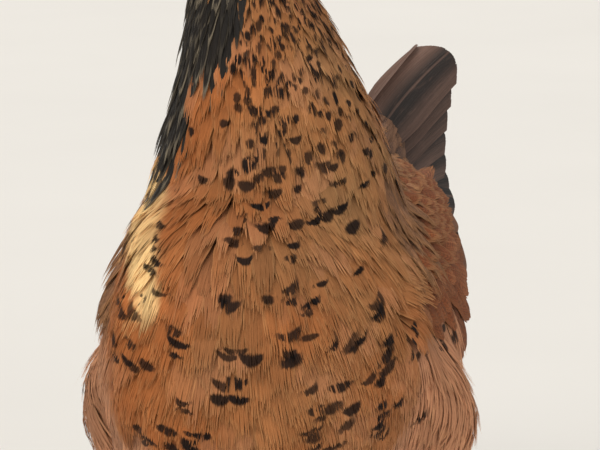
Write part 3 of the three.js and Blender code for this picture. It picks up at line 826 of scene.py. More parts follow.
def leg_material():
    look = Look("leg scales", 0.5, Specular_IOR_Level=0.4)
    scute, front = look.attribute("scute"), look.attribute("front")
    pebbles = look.group(PEBBLES, Scale=520.0)
    lap = look.math("FRACT", scute)
    groove = look.math("MULTIPLY", look.step(lap, 0.80, 0.97), front)
    small = look.math("MULTIPLY", pebbles.outputs["Height"], look.math("SUBTRACT", 1.0, front))
    colour = look.mix(look.step(pebbles.outputs["Blotch"], 0.35, 0.7), LEG_GREY, LEG_YELLOW)
    # Painted shade: the groove where each front scute runs under the next is darkened by half, and the small
    # scales at the back are painted lighter on their tops than between them
    light = look.math("MULTIPLY_ADD", groove, -0.5, 1.0)
    light = look.math("MULTIPLY_ADD", small, 0.25, light)
    colour = look.lit(colour, light)
    return look.finish(colour, look.math("SUBTRACT", small, groove), 0.6, 0.0006)


def horn_material(name, low, high):
    """Horn that darkens from one height to another, with fine growth lines and painted shade in the nostrils.
    """
    look = Look(name, 0.32, Specular_IOR_Level=0.5)
    where = look.add("ShaderNodeTexCoord").outputs["Object"]
    parts = look.add("ShaderNodeSeparateXYZ", {0: where})
    grain = look.noise(where, 500.0, 3.0)
    place = look.math("MULTIPLY_ADD", grain, 0.004, parts.outputs["Z"])
    colour = look.mix(look.step(place, low, high), HORN_PALE, HORN_DARK)
    # Painted shade: the sunken nostril slits are coloured near black
    colour = look.mix(look.attribute("hole"), colour, NOSTRIL_SHADE)
    colour = look.lit(colour, look.math("MULTIPLY_ADD", grain, 0.5, 0.75))
    return look.finish(colour, grain, 0.15, 0.0003)


def eye_material():
    look = Look("eye", 0.06, Coat_Weight=0.8, Coat_Roughness=0.03)
    ring = look.attribute("ring")
    spokes = look.noise(look.point(look.attribute("spoke"), ring, 0.0), 3.0, 3.0)
    iris = look.lit(IRIS_ORANGE, look.math("MULTIPLY_ADD", spokes, 0.9, 0.5))
    colour = look.mix(look.step(ring, 0.40, 0.44), PUPIL_BLACK, iris)
    return look.finish(look.mix(look.step(ring, 0.80, 0.92), colour, IRIS_RIM))


BUFF = buff_material()
HACKLE = hackle_material()
BROWN = brown_material()
TAIL_SLATE = slate_material()
FEATHER_MATERIALS = [BUFF, HACKLE, BROWN, TAIL_SLATE]
BUFF_KIND, BLACK_KIND, BROWN_KIND, SLATE_KIND = range(4)
UNDER_SKIN = plumed_skin_material()
FACE_SKIN = bare_skin_material("red face skin", FACE_RED, 1500.0)
COMB_SKIN = bare_skin_material("red comb skin", COMB_RED, 1150.0)
LOBE_SKIN = bare_skin_material("ear lobe skin", LOBE_RED, 1300.0)
LEG_SKIN = leg_material()
CLAW_HORN = horn_material("claw horn", 0.004, 0.011)
EYE_GLOSS = eye_material()

# ---- feathers ----

# strips: barb locks side by side in one feather; rows: steps along each; round: how much shorter the
# outer locks are; ragged: unevenness of their ends; fray: how far they stray sideways; point: how far the
# vane narrows to its tip; splay: how far the locks part; cup: how far the vane arches across; taper: how far
# each lock thins to its end; stand: how unevenly the feathers stand over the skin
STYLE_VALUES = ("strips", "rows", "round", "ragged", "fray", "point", "splay", "cup", "taper", "stand")
STYLE_TABLE = {
    "breast": (24, 5, 0.26, 0.070, 0.030, 0.06, 0.03, 0.08, 0.66, 0.07),
    "saddle": (10, 6, 0.45, 0.030, 0.020, 0.40, 0.02, 0.16, 0.60, 0.08),
    "hackle": (7, 6, 0.55, 0.030, 0.030, 0.62, 0.02, 0.30, 0.72, 0.12),
    "throat": (14, 5, 0.30, 0.085, 0.035, 0.25, 0.03, 0.10, 0.62, 0.09),
    "covert": (12, 6, 0.26, 0.020, 0.010, 0.08, 0.00, 0.18, 0.30, 0.10),
    "fluff": (21, 6, 0.25, 0.100, 0.070, -0.10, 0.12, 0.22, 0.80, 0.14),
    "crown": (3, 3, 0.35, 0.080, 0.080, 0.45, 0.10, 0.30, 0.60, 0.0),
    "quill": (18, 14, 0.13, 0.002, 0.002, 0.10, 0.00, 0.10, 0.05, 0.0),
}
STYLES = {style: dict(zip(STYLE_VALUES, values)) for style, values in STYLE_TABLE.items()}

random = np.random.default_rng(SEED)


def follow_skin(roots, headings, lengths, part_names):
    """Leads each feather's middle line over the body, and returns its points and outward normals.

    Where the skin turns away too sharply a feather lets go of it, and runs on freely from there.
    """
    at, up, _ = body.nearest(roots)
    heading = along_surface(headings, up)
    path, ups = [at], [up]
    hold = np.ones((len(at), 1))
    step = (lengths / PATH_STEPS)[:, None]
    for _ in range(PATH_STEPS):
        ahead = at + heading * step
        found, normal, _ = body.nearest(ahead)
        hold = np.minimum(hold, smoothstep(0.35, 0.85, dot(normal, up)))
        move = found * hold + ahead * (1 - hold) - at
        move = unit(move + heading * step * 0.3)
        at = at + move * step
        up = unit(normal * hold + up * (1 - hold))
        flow = lie_of_coat(at, up, part_names)
        heading = along_surface(heading * STIFFNESS + flow * (1 - STIFFNESS), up)
        path.append(at)
        ups.append(up)
    return evened(np.stack(path, 1)), unit(evened(np.stack(ups, 1)))


def evened(line):
    """Takes the kinks out of lines of points, and keeps their ends."""
    for _ in range(2):
        line[:, 1:-1] = (line[:, :-2] + 2 * line[:, 1:-1] + line[:, 2:]) / 4
    return line


def raised(path, ups, depth, lift):
    """Raises a middle line from the skin at its root to the coat's surface toward its tip."""
    share = np.linspace(0, 1, path.shape[1])
    rise = 0.06 + 0.94 * (1 - (1 - share) ** 1.7)
    height = depth[:, None] * rise + lift[:, None] * share**3
    return path + ups * height[..., None]


def at_share(line, share):
    """Reads a line of points at shares of its length: line is (feather, step, 3), share (feather, ...)."""
    steps = line.shape[1] - 1
    place = share * steps
    low = np.clip(np.floor(place).astype(int), 0, steps - 1)
    rest = (place - low)[..., None]
    pick = np.arange(len(line)).reshape(-1, *([1] * (share.ndim - 1)))
    return line[pick, low] * (1 - rest) + line[pick, low + 1] * rest


def vanes(path, ups, half, style, looks, patch, kinds, spotted=False):
    """Builds feathers as locks of barbs: path and ups (feather, step, 3), half the half width of each.

    kinds tells which of the feather materials each has, and patch where its root lies on the unwrapped skin.
    """
    form = STYLES[style]
    count, strips, rows = len(path), form["strips"], form["rows"]
    half = half[:, None, None, None]
    # The middle of each lock, from -1 to 1 across the feather, and how far along the shaft each row reaches
    middle = (2 * np.arange(strips) + 1) / strips - 1
    row = np.linspace(0, 1, rows + 1)
    lock_half = LOCK_WIDTH / strips
    rim = np.clip(middle[:, None] + np.array([-lock_half, lock_half]), -1, 1)
    uneven = form["ragged"] * random.normal(size=(count, strips, 1))
    reach = 1 - form["round"] * np.abs(rim) ** 2.3 + uneven
    share = reach[:, :, None, :] * row[None, None, :, None]
    centre = at_share(path, share)
    within = np.clip(share, 0, 1)
    ahead = unit(at_share(path, within + 0.04) - at_share(path, within - 0.04))
    up = unit(at_share(ups, within))
    aside = unit(np.cross(ahead, up))
    width = 0.30 + 0.70 * np.sin(np.clip(share / 0.55, 0, 1) * np.pi / 2)
    width *= 1 - form["point"] * np.clip((share - 0.45) / 0.55, 0, 1.2) ** 1.3
    # The two edges of each lock, across the feather, and how far they stand off its face
    lean = random.normal(size=(count, strips, 1)) * form["fray"] * 1.6
    sway = middle[None, :, None] * (1 + form["splay"] * row**2) + lean * row**2
    lock = lock_half * (1 - form["taper"] * row**4)
    edges = np.stack([sway - lock, sway + lock], -1)
    lift = half * form["cup"] * (1 - edges**2)
    stray = random.normal(size=(count, strips, 1, 1)) * form["fray"] * half * 0.7
    lift = lift + stray * (row**2)[None, None, :, None]
    points = centre + aside * (edges * width * half)[..., None] + up * lift[..., None]
    corner = np.arange(count * strips)[:, None] * (rows + 1) * 2 + np.arange(rows) * 2
    quads = np.stack([corner, corner + 1, corner + 3, corner + 2], -1).reshape(-1, 4)
    spread = {
        "along": row[None, None, :, None],
        "across": np.clip(edges, -1, 1),
        "strand": random.random((count, strips, 1, 1)),
        "tone": random.random((count, 1, 1, 1)),
        **{key: values[:, None, None, None] for key, values in looks.items()},
    }
    attributes = {key: np.broadcast_to(values, points.shape[:-1]).ravel() for key, values in spread.items()}
    attributes.update(spot_marks(points, kinds == BUFF_KIND) if spotted else no_spots(points.size // 3))
    corner_uv = np.stack([attributes["across"], attributes["along"] * 2 - 1], -1)
    return {
        "points": points.reshape(-1, 3),
        "quads": quads,
        "attributes": attributes,
        "uv": np.repeat(patch, strips * (rows + 1) * 2, axis=0) + corner_uv * BAKE_PATCH / 2,
        "kind": np.broadcast_to(kinds, count),
        "each": strips * rows,
    }


def joined(parts):
    """Several sets of vanes as one."""
    points, quads, uv, start = [], [], [], 0
    for part in parts:
        points.append(part["points"])
        quads.append(part["quads"] + start)
        uv.append(part["uv"])
        start += len(part["points"])
    keys = parts[0]["attributes"]
    attributes = {key: np.concatenate([part["attributes"][key] for part in parts]) for key in keys}
    kinds = np.concatenate([np.repeat(part["kind"], part["each"]) for part in parts])
    return np.concatenate(points), np.concatenate(quads), attributes, kinds, np.concatenate(uv)


def coat_piece(name, parts, replaced):
    """One piece of the coat, from sets of vanes."""
    points, quads, attributes, kinds, uv = joined(parts)
    dress(piece_from_arrays(name, points, quads, attributes, FEATHER_MATERIALS, kinds, uv), replaced)


def picked(looks, pick):
    return {key: values[pick] for key, values in looks.items()}


def dress(piece, replaced=()):
    """Gives a piece its place on the one body, and the solid parts that it stands in for."""
    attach(piece, "root")
    if replaced:
        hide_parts(*replaced)


def scattered(surface, spacing, allowed):
    """Roots spread evenly over the skin, each as far from its neighbours as its face's spacing."""
    points, quads = surface.points, surface.quads
    corners = points[quads]
    diagonals = corners[:, 2] - corners[:, 0], corners[:, 3] - corners[:, 1]
    area = 0.5 * np.linalg.norm(np.cross(*diagonals), axis=-1)
    weight = area / spacing**2 * allowed
    tries = int(weight.sum() * ROOT_TRIES)
    faces = random.choice(len(quads), tries, p=weight / weight.sum())
    u, v = random.random((2, tries, 1))
    a, b, c, d = (corners[faces, i] for i in range(4))
    places = (a * (1 - u) + b * u) * (1 - v) + (d * (1 - u) + c * u) * v
    tree = kdtree.KDTree(tries)
    for i, place in enumerate(places):
        tree.insert(place, i)
    tree.balance()
    free = np.ones(tries, bool)
    kept = []
    for i in range(tries):
        if free[i]:
            kept.append(i)
            for _, other, _ in tree.find_range(places[i], spacing[faces[i]] * ROOT_GAP):
                free[other] = False
    return places[kept], faces[kept]


def unwrapped(piece):
    """Unwraps the skin's own shape, and returns the middle of each face on it."""
    bpy.ops.object.select_all(action="DESELECT")
    piece.select_set(True)
    bpy.context.view_layer.objects.active = piece
    bpy.ops.object.mode_set(mode="EDIT")
    bpy.ops.mesh.select_all(action="SELECT")
    bpy.ops.uv.smart_project(angle_limit=math.radians(66), island_margin=0.004)
    bpy.ops.object.mode_set(mode="OBJECT")
    layer = piece.data.uv_layers.active
    layer.name = "OFBake"
    flat = np.empty(len(piece.data.loops) * 2, np.float32)
    layer.data.foreach_get("uv", flat)
    return flat.reshape(-1, 4, 2).mean(1)


# ---- the bird's surfaces and its one skin ----

body = body_surface()
head = head_surface()
legs = {side: leg_surface(side) for side, _ in SIDES}

TREES = {name: part_tree(name) for name in REGIONS}
face_middles = body.points[body.quads].mean(1)
face_normals = unit(body.normals[body.quads].mean(1))
face_parts = nearest_part(face_middles + face_normals * COAT_DEPTH["trunk"])
point_parts = np.empty(len(body.points), face_parts.dtype)
point_parts[body.quads.ravel()] = np.repeat(face_parts, 4)
head_middles = head.points[head.quads].mean(1)


def face_share(points):
    """1 on the bare red skin round the eyes and beak, 0 where the head is feathered."""
    near = np.zeros(len(points))
    for side, _ in SIDES:
        offset = points - EYES[side]
        ahead = offset @ LOOK
        rise = offset[:, 2]
        gap = np.sqrt((ahead - 0.001) ** 2 / 1.9 + (rise + 0.003) ** 2 + (offset @ LOOK_LEFT) ** 2)
        near = np.maximum(near, smoothstep(0.0125, 0.0100, gap))
    beak_side = smoothstep(0.016, 0.020, (points - HEAD_MIDDLE) @ LOOK)
    return np.maximum(near, beak_side)


def one_skin():
    """Joins the body, the finer head and the scaled legs into one skin."""
    below_head = face_middles[:, 2] < HEAD_LOW[2] + 0.006
    body_quads = body.quads[below_head]
    plumed = np.zeros(len(body_quads), int)
    bare = (face_share(head_middles) > 0.4).astype(int)
    parts = [(body.points, body_quads, plumed), (head.points, head.quads, bare)]
    parts += [(leg.points, leg.quads, np.full(len(leg.quads), 2)) for leg, _, _ in legs.values()]
    points = np.concatenate([part[0] for part in parts])
    starts = np.cumsum([0] + [len(part[0]) for part in parts])
    quads = np.concatenate([part[1] + start for part, start in zip(parts, starts)])
    materials = np.concatenate([part[2] for part in parts])
    names = np.full(len(points), "thigh_left", dtype=point_parts.dtype)
    names[: starts[1]] = point_parts
    names[starts[1] : starts[2]] = "neck"
    attributes = markings(points, names)
    for place, key in ((1, "scute"), (2, "front")):
        attributes[key] = np.zeros(len(points))
        attributes[key][starts[2] :] = np.concatenate([leg[place] for leg in legs.values()])
    made = piece_from_arrays(
        "skin", points, quads, attributes, [UNDER_SKIN, FACE_SKIN, LEG_SKIN], materials
    )
    face_uv = unwrapped(made)
    body.face_uv[below_head] = face_uv[: len(body_quads)]
    head.face_uv = face_uv[len(body_quads) : len(body_quads) + len(head.quads)]
    dress(made, FLESH)


one_skin()

# ---- the coat ----


def wing_shares(points):
    """How far back and how high a place is in the folded wing's box, each from 0 to 1."""
    back = (points[:, 1] - WING_LOW[1]) / (WING_HIGH[1] - WING_LOW[1])
    rise = (points[:, 2] - WING_LOW[2]) / (WING_HIGH[2] - WING_LOW[2])
    return back, rise


def in_flight_zone(points, parts):
    """The lower rear of each folded wing, where the long flight feathers show."""
    back, rise = wing_shares(points)
    low_root, high_root = FLIGHT_ROOTS
    low_tip, high_tip = FLIGHT_TIPS
    first = blend_values(rise, [low_root[1], high_root[1]], [low_root[0], high_root[0]])
    top = blend_values(back, [high_root[0], 1], [high_root[1], high_tip[1]])
    low = blend_values(back, [low_root[0], low_tip[0]], [low_root[1], low_tip[1]])
    beside = (rise > low - 0.08) & (back > 0.6) & (back < 0.97) & (np.abs(points[:, 0]) > 0.02)
    return (is_part(parts, "wing") | beside) & (back > first - 0.05) & (rise < top - 0.02)


def root_spacing():
    """The room each feather has, over the faces of the body, and where they grow at all."""
    x, y, z = face_middles.T
    on_wing = is_part(face_parts, "wing")
    spacing = blend_values(y, [-0.11, -0.08], [0.0050, 0.0060])
    on_neck = blend_values(up_neck(z), [0, 0.5, 1], [0.0052, 0.0044, 0.0034])
    spacing = np.where(is_part(face_parts, "neck"), on_neck, spacing)
    spacing = np.where(on_wing, 0.0066, spacing)
    spacing = np.where(is_part(face_parts, "thigh"), 0.0064, spacing)
    spacing = spacing + 0.0006 * smoothstep(0.17, 0.14, z) * (face_parts == "trunk")
    # The tail's own coverts close round its root
    from_root = np.hypot((x - TAIL_ROOT[0]) / 0.036, (z - TAIL_ROOT[2] + 0.005) / 0.045)
    on_tail = (y > TAIL_ROOT[1] + 0.002) & (from_root < 1)
    # Behind the flight feathers, only the faces that look in or back are feathered
    inner = on_wing & (face_normals[:, 0] * np.sign(x) < 0.1) & (z < 0.225)
    inner |= ~on_wing & (face_normals[:, 1] > 0.25)
    inner &= face_normals[:, 2] < 0.25
    under_quills = in_flight_zone(face_middles, face_parts) & ~inner
    allowed = (z < HEAD_LOW[2] - 0.001) & ~under_quills & ~on_tail
    return spacing, allowed.astype(float)


# Groups of short dark bars on the breast, in millimetres: how far to her left and how high the middle of
# each is, how far its bars spread to each side and in height, and how many there are
SPOT_GROUPS = (
    (-39, 203, 7, 6, 6),
    (-15, 208, 4, 3, 2),
    (9, 207, 8, 2, 3),
    (5, 191, 5, 4, 4),
    (-14, 183, 3, 3, 2),
    (-31, 167, 9, 6, 5),
    (-11, 167, 6, 4, 4),
    (8, 228, 6, 3, 2),
    (30, 232, 10, 4, 4),
    (33, 210, 4, 6, 4),
    (55, 209, 10, 2, 5),
    (65, 198, 4, 3, 2),
    (76, 200, 6, 7, 6),
    (49, 186, 12, 7, 9),
    (66, 171, 8, 7, 7),
    (44, 170, 8, 6, 5),
    (16, 254, 13, 8, 10),
    (39, 262, 8, 6, 5),
    (52, 242, 6, 5, 2),
    (62, 222, 5, 5, 2),
    (40, 225, 5, 3, 2),
    (-28, 252, 4, 6, 3),
    (-31, 236, 3, 6, 3),
    (-41, 223, 6, 4, 5),
    (-17, 218, 3, 3, 1),
    (16, 300, 7, 16, 16),
    (10, 326, 7, 14, 12),
    (30, 322, 9, 14, 9),
    (4, 282, 5, 3, 3),
    (46, 285, 10, 9, 6),
)
SPOT_REACH = 0.03  # a spot marks only the feathers that end within this distance
FAR_OFF = 9.0
SPOTLESS = {"off": FAR_OFF, "mark": 0.0, "off_next": FAR_OFF, "mark_next": 0.0}


def breast_bars():
    """Where the bars of each group lie on the skin, and in which faces."""
    places, faces = [], []
    for aside, height, spread, rise, number in SPOT_GROUPS:
        chosen = np.array([[aside + 0.5 * spread, height]])
        for _ in range(number):
            tries = np.array([aside, height]) + random.uniform(-1, 1, (8, 2)) * (spread, rise)
            gaps = np.linalg.norm((tries[:, None] - chosen) * (0.45, 1), axis=2).min(1)
            pick = tries[gaps.argmax()]
            chosen = np.concatenate([chosen, pick[None]])
            ahead = Vector((pick[0], -1000, pick[1])) / 1000
            where, _, face, _ = body.tree.ray_cast(ahead, Vector((0, 1, 0)))
            if where is not None:
                places.append(where)
                faces.append(face)
    return np.array(places), np.array(faces)


def neck_flecks():
    """Where the small flecks of the throat lie on the skin, in loose clusters, and in which faces."""
    z = face_middles[:, 2]
    marks = markings(face_middles, face_parts)
    gap = blend_values(z, [0.27, 0.30, 0.32, 0.35], [0.0110, 0.0074, 0.0047, 0.0031])
    angle = throat_angle(face_middles)
    plain = smoothstep(-8, -22, angle) * smoothstep(0.335, 0.32, z) + smoothstep(48, 64, angle) * 0.5
    gap = gap * (1 + 1.2 * np.minimum(plain, 1)) * (1 - 0.45 * ripple(face_middles, 150, 3.0))
    free = (z > 0.268) & (z < HEAD_LOW[2] - 0.002) & (marks["black"] < 0.3) & (marks["brown"] < 0.3)
    return scattered(body, gap, free.astype(float))


def dark_spots():
    """The dark spots of the throat and breast, each a short bar or fleck across the feathers.

    middle, down and aside place it; wide is half its width, tall half its thickness, and bow its curve.
    """
    bars, bar_faces = breast_bars()
    flecks, fleck_faces = neck_flecks()
    middle, faces = np.concatenate([bars, flecks]), np.concatenate([bar_faces, fleck_faces])
    count = len(middle)
    normals = body.normal_at(middle, faces)
    down = lie_of_coat(middle, normals, face_parts[faces])
    height = middle[:, 2]
    outward = 0.50 * (middle[:, 0] - 0.010) / 0.06 * smoothstep(0.27, 0.24, height)
    turn = (outward + 0.22 * random.normal(size=count))[:, None]
    down = unit(down + np.cross(normals, down) * turn)
    vary = 0.6 + 0.8 * random.random((3, count))
    levels = [0.17, 0.20, 0.24, 0.27, 0.31, 0.34]
    wide = blend_values(height, levels, [0.0046, 0.0054, 0.0042, 0.0034, 0.0020, 0.0013])
    tall = blend_values(height, levels, [0.0021, 0.0024, 0.0023, 0.0023, 0.0028, 0.0028])
    bow = blend_values(height, [0.20, 0.23, 0.30, 0.34], [0.25, 0.35, 0.30, 0.0])
    return {
        "middle": middle,
        "down": down,
        "aside": np.cross(down, normals),
        "wide": wide * vary[0],
        "tall": tall * vary[1],
        "bow": bow * (2.2 * vary[2] - 1.2),
        "strength": 0.84 + 0.16 * random.random(count),
    }


def no_spots(size):
    return {key: np.full(size, value) for key, value in SPOTLESS.items()}


def spot_marks(points, buff):
    """How far each point of a lock lies off the middle lines of its two nearest spots, and how dark they are.

    A spot is dark only within its width, and only on buff feathers.
    """
    count, strips = points.shape[:2]
    flat = points.reshape(count * strips, -1, 3)
    ends = flat[:, -4:].mean(1)
    aside = ends @ SPOTS["aside"].T - (SPOTS["middle"] * SPOTS["aside"]).sum(1)
    down = ends @ SPOTS["down"].T - (SPOTS["middle"] * SPOTS["down"]).sum(1)
    deep = np.linalg.norm(ends[:, None] - SPOTS["middle"], axis=2)
    past = np.maximum(np.abs(aside) - SPOTS["wide"], 0)
    order = np.argsort(np.hypot(past * 2, down) + FAR_OFF * (deep > SPOT_REACH), axis=1)
    marks = {}
    for place, suffix in enumerate(("", "_next")):
        spot = {key: values[order[:, place]][:, None] for key, values in SPOTS.items()}
        offset = flat - spot["middle"]
        across = (offset * spot["aside"]).sum(-1) / spot["wide"]
        along = (offset * spot["down"]).sum(-1) + spot["bow"] * spot["wide"] * across**2
        off = along / (spot["tall"] * (1 - 0.62 * np.minimum(across**2, 1)))
        inside = smoothstep(1.12, 0.85, np.abs(across)) * spot["strength"]
        marks["off" + suffix] = np.clip(off, -FAR_OFF, FAR_OFF).ravel()
        marks["mark" + suffix] = (inside * np.repeat(buff, strips)[:, None]).ravel()
    return marks


TIP_REACH = 0.024  # a feather takes its markings from about where its tip shows
HACKLE_REACH = 0.040
TUCKED_SIZE = 0.55  # the share of their size that feathers have where they are tucked in behind the wing


def feather_set(roots, faces, parts, style, length, half, depth, kinds, looks, lift):
    """Feathers of one style over a set of roots on the body."""
    count = len(roots)
    normals = body.normal_at(roots, faces)
    heading = lie_of_coat(roots, normals, parts)
    turn = random.normal(size=(count, 1)) * TURN_VARY
    heading = unit(heading + np.cross(normals, heading) * turn)
    path, ups = follow_skin(roots, heading, length, parts)
    height = depth * (1 + STYLES[style]["stand"] * random.normal(size=count))
    path = raised(path, ups, height, np.full(count, lift))
    made = vanes(path, ups, half, style, looks, body.face_uv[faces], kinds, spotted=True)
    # Buff feathers blend into each other, so most of their tint comes from the place and not the feather
    each = len(made["points"]) // count
    here = markings(made["points"], np.repeat(parts, each))
    buff = np.repeat(kinds == BUFF_KIND, each)
    for key in ("warm", "gold"):
        own = made["attributes"][key]
        made["attributes"][key] = np.where(buff, OWN_TINT * own + (1 - OWN_TINT) * here[key], own)
    return made


def feather_coat():
    """Feathers of six styles over the body, each piece over the parts that it dresses."""
    spacing, allowed = root_spacing()
    roots, faces = scattered(body, spacing, allowed)
    parts = face_parts[faces]
    count = len(roots)
    x, y, z = roots.T
    share = up_neck(z)
    normals = body.normal_at(roots, faces)
    thin = blend_values(share, [0, 0.6, 1.0], [1, 0.75, 0.42])
    neck_zone = is_part(parts, "neck") | ((share > -0.12) & (y < TRUNK_LOW[1] + 0.12))
    lie = lie_of_coat(roots, normals, parts)
    marks = markings(roots + lie * (TIP_REACH * np.where(neck_zone, thin, 1))[:, None], parts)
    hackle_marks = markings(roots + lie * (HACKLE_REACH * thin)[:, None], parts)
    kinds = np.full(count, BUFF_KIND)
    kinds[random.random(count) < marks["brown"]] = BROWN_KIND
    # No black hackle feathers under the painted sunlight on her shoulder
    kinds[random.random(count) < hackle_marks["black"] * (1 - marks["gold"])] = BLACK_KIND

    looks = {key: marks[key] for key in ("warm", "gold", "fluff")}
    looks["fluff"] = np.maximum(looks["fluff"], 0.32 * smoothstep(-0.1, 0.8, ripple(roots, 75, 5.0)))
    looks["lines"] = 62 + 26 * random.random(count)
    looks["shade"] = 0.97 + 0.09 * ripple(roots, 150, 4.0) + 0.10 * ripple(roots, 430, 6.0)
    looks["shade"] *= 1 + 0.05 * random.normal(size=count)
    # Painted shade: buff feathers down the middle of the throat and upper breast are up to 13 % darker,
    # turning a little lighter again toward the head
    throat_middle = smoothstep(0.032, 0.008, np.abs(x - 0.010))
    throat_middle *= blend_values(z, [0.20, 0.24, 0.29, 0.335], [0, 1, 1, -0.35])
    looks["shade"] *= 1 - 0.13 * throat_middle * (kinds == BUFF_KIND)
    brown_warm = is_part(parts, "wing") * 0.85 + 0.1 * random.random(count)
    looks["warm"] = np.where(kinds == BROWN_KIND, brown_warm, looks["warm"])
    to_tail = smoothstep(0.03, 0.11, y) * smoothstep(0.215, 0.235, z)
    looks["mauve"] = 0.75 * to_tail
    looks["barred"] = 0.38 + 0.22 * to_tail
    looks["laced"] = 0.12 + 0.38 * smoothstep(0.225, 0.245, z) * (1 - to_tail)

    tucked_in = in_flight_zone(roots, parts) & (normals[:, 2] < 0.35)
    zones = {
        "hackle": neck_zone & (kinds == BLACK_KIND),
        "saddle": (kinds == BROWN_KIND) & (z > 0.236),
        "throat": neck_zone & (kinds != BLACK_KIND),
        "covert": is_part(parts, "wing") & (marks["brown"] > 0.5) & ~tucked_in,
        "fluff": (marks["fluff"] > 0.5) | tucked_in,
        "breast": np.ones(count, bool),
    }
    taken = np.zeros(count, bool)
    for style, where in zones.items():
        zones[style] = where & ~taken
        taken |= where
    kinds[zones["covert"]] = BROWN_KIND
    size = (1 + 0.10 * random.normal(size=count)) * np.where(tucked_in, TUCKED_SIZE, 1)

    def build(style, length, half, depth, lift=0.0, within=True):
        pick = zones[style] & within
        length, half, depth = (np.broadcast_to(value, count)[pick] for value in (length, half, depth))
        length, half = length * size[pick], half * size[pick]
        own = picked(looks, pick)
        return feather_set(
            roots[pick], faces[pick], parts[pick], style, length, half, depth, kinds[pick], own, lift
        )

    neck_depth = COAT_DEPTH["neck"] * blend_values(share, [0.5, 0.95, 1.1], [1, 0.5, 0.25])
    hackle = build("hackle", 0.050 * thin, 0.0044 * thin, neck_depth)
    coat_piece("coat_hackle", [hackle], ["neck"])
    throat = build("throat", 0.032 * thin, 0.0048 * thin, neck_depth)
    coat_piece("coat_throat", [throat], ["neck"])
    fore = y < -0.10
    upper = z > 0.205
    for name, level in (("coat_breast_upper", upper), ("coat_breast_lower", ~upper)):
        breast = build("breast", 0.029, 0.0060, COAT_DEPTH["trunk"], within=fore & level)
        coat_piece(name, [breast], ["trunk"])
    plain = build("breast", 0.031, 0.0066, COAT_DEPTH["trunk"], within=~fore)
    saddle = build("saddle", 0.040, 0.0058, COAT_DEPTH["trunk"])
    coat_piece("coat_back", [plain, saddle], ["trunk"])
    for side, mirror in SIDES:
        on_side = x * mirror > 0
        length = 0.042 - 0.014 * smoothstep(WING_LOW[1] + 0.10, WING_LOW[1] + 0.03, y)
        coverts = build("covert", length, 0.0068, COAT_DEPTH["wing"], within=on_side)
        feathers = [coverts, wing_quills(side, mirror)]
        coat_piece(f"coat_wing_{side}", feathers, [f"wing_{side}"])
        flare = THIGH_FLARE[side] * blend_values(z, [0.105, 0.135, 0.160, 0.180], [0, 1, 1, 0])
        loose = build("fluff", 0.034, 0.0070, COAT_DEPTH["thigh"] + flare, lift=0.001, within=on_side)
        coat_piece(f"coat_fluff_{side}", [loose], [f"thigh_{side}"])


def plain_looks(count, **given):
    looks = {key: np.zeros(count) for key in ("warm", "gold", "fluff", "lines", "mauve", "barred", "laced")}
    looks["shade"] = 0.92 + 0.16 * random.random(count)
    for key, value in given.items():
        looks[key] = looks[key] + value
    return looks


def wing_face(side, mirror, back, rise):
    """The outer face of the folded wing or the trunk at shares of the wing's box, with its normals."""
    y = WING_LOW[1] + (WING_HIGH[1] - WING_LOW[1]) * back
    z = WING_LOW[2] + (WING_HIGH[2] - WING_LOW[2]) * rise
    outside = 2 * BIRD_HIGH[0]
    inward = Vector((-mirror, 0, 0))
    places, normals = [], []
    for one_y, one_z in zip(y, z):
        start = Vector((mirror * outside, one_y, one_z))
        hits = [TREES[name].ray_cast(start, inward) for name in (f"wing_{side}", "trunk")]
        hits = [hit for hit in hits if hit[0] is not None]
        if hits:
            where, normal = min(hits, key=lambda hit: hit[3])[:2]
            places.append(where)
            normals.append(normal)
        else:
            places.append(Vector((places[-1].x, one_y, one_z)))
            normals.append(normals[-1])
    return np.array(places), np.array(normals)


def wing_quills(side, mirror):
    """The long flight feathers of the folded wing, each partly under the one above it."""
    steps = 2 * PATH_STEPS
    along = np.linspace(0, 1, steps + 1)
    paths, ups = [], []
    for i in range(FLIGHT_FEATHERS):
        share = i / (FLIGHT_FEATHERS - 1)
        root, tip = (between(span, share) for span in np.array([FLIGHT_ROOTS, FLIGHT_TIPS]))
        back, rise = root[:, None] + (tip - root)[:, None] * along
        places, normals = wing_face(side, mirror, back, rise - 0.03 * np.sin(np.pi * along))
        padded = np.pad(places, ((2, 2), (0, 0)), "edge")
        even = np.stack([np.convolve(column, np.ones(5) / 5, "valid") for column in padded.T], 1)
        even[0], even[-1] = places[0], places[-1]
        up = unit(normals + normals.mean(0))
        paths.append(even - up * between(FLIGHT_SINK, share))
        ups.append(up)
    paths, ups = np.array(paths), np.array(ups)
    _, _, faces = body.nearest(paths[:, 0])
    looks = plain_looks(FLIGHT_FEATHERS, warm=0.7, lines=170.0, barred=0.55, laced=0.15)
    half = np.full(FLIGHT_FEATHERS, 0.0105)
    return vanes(paths, ups, half, "quill", looks, body.face_uv[faces], BROWN_KIND)


SPOTS = dark_spots()
feather_coat()

# ---- the tail ----


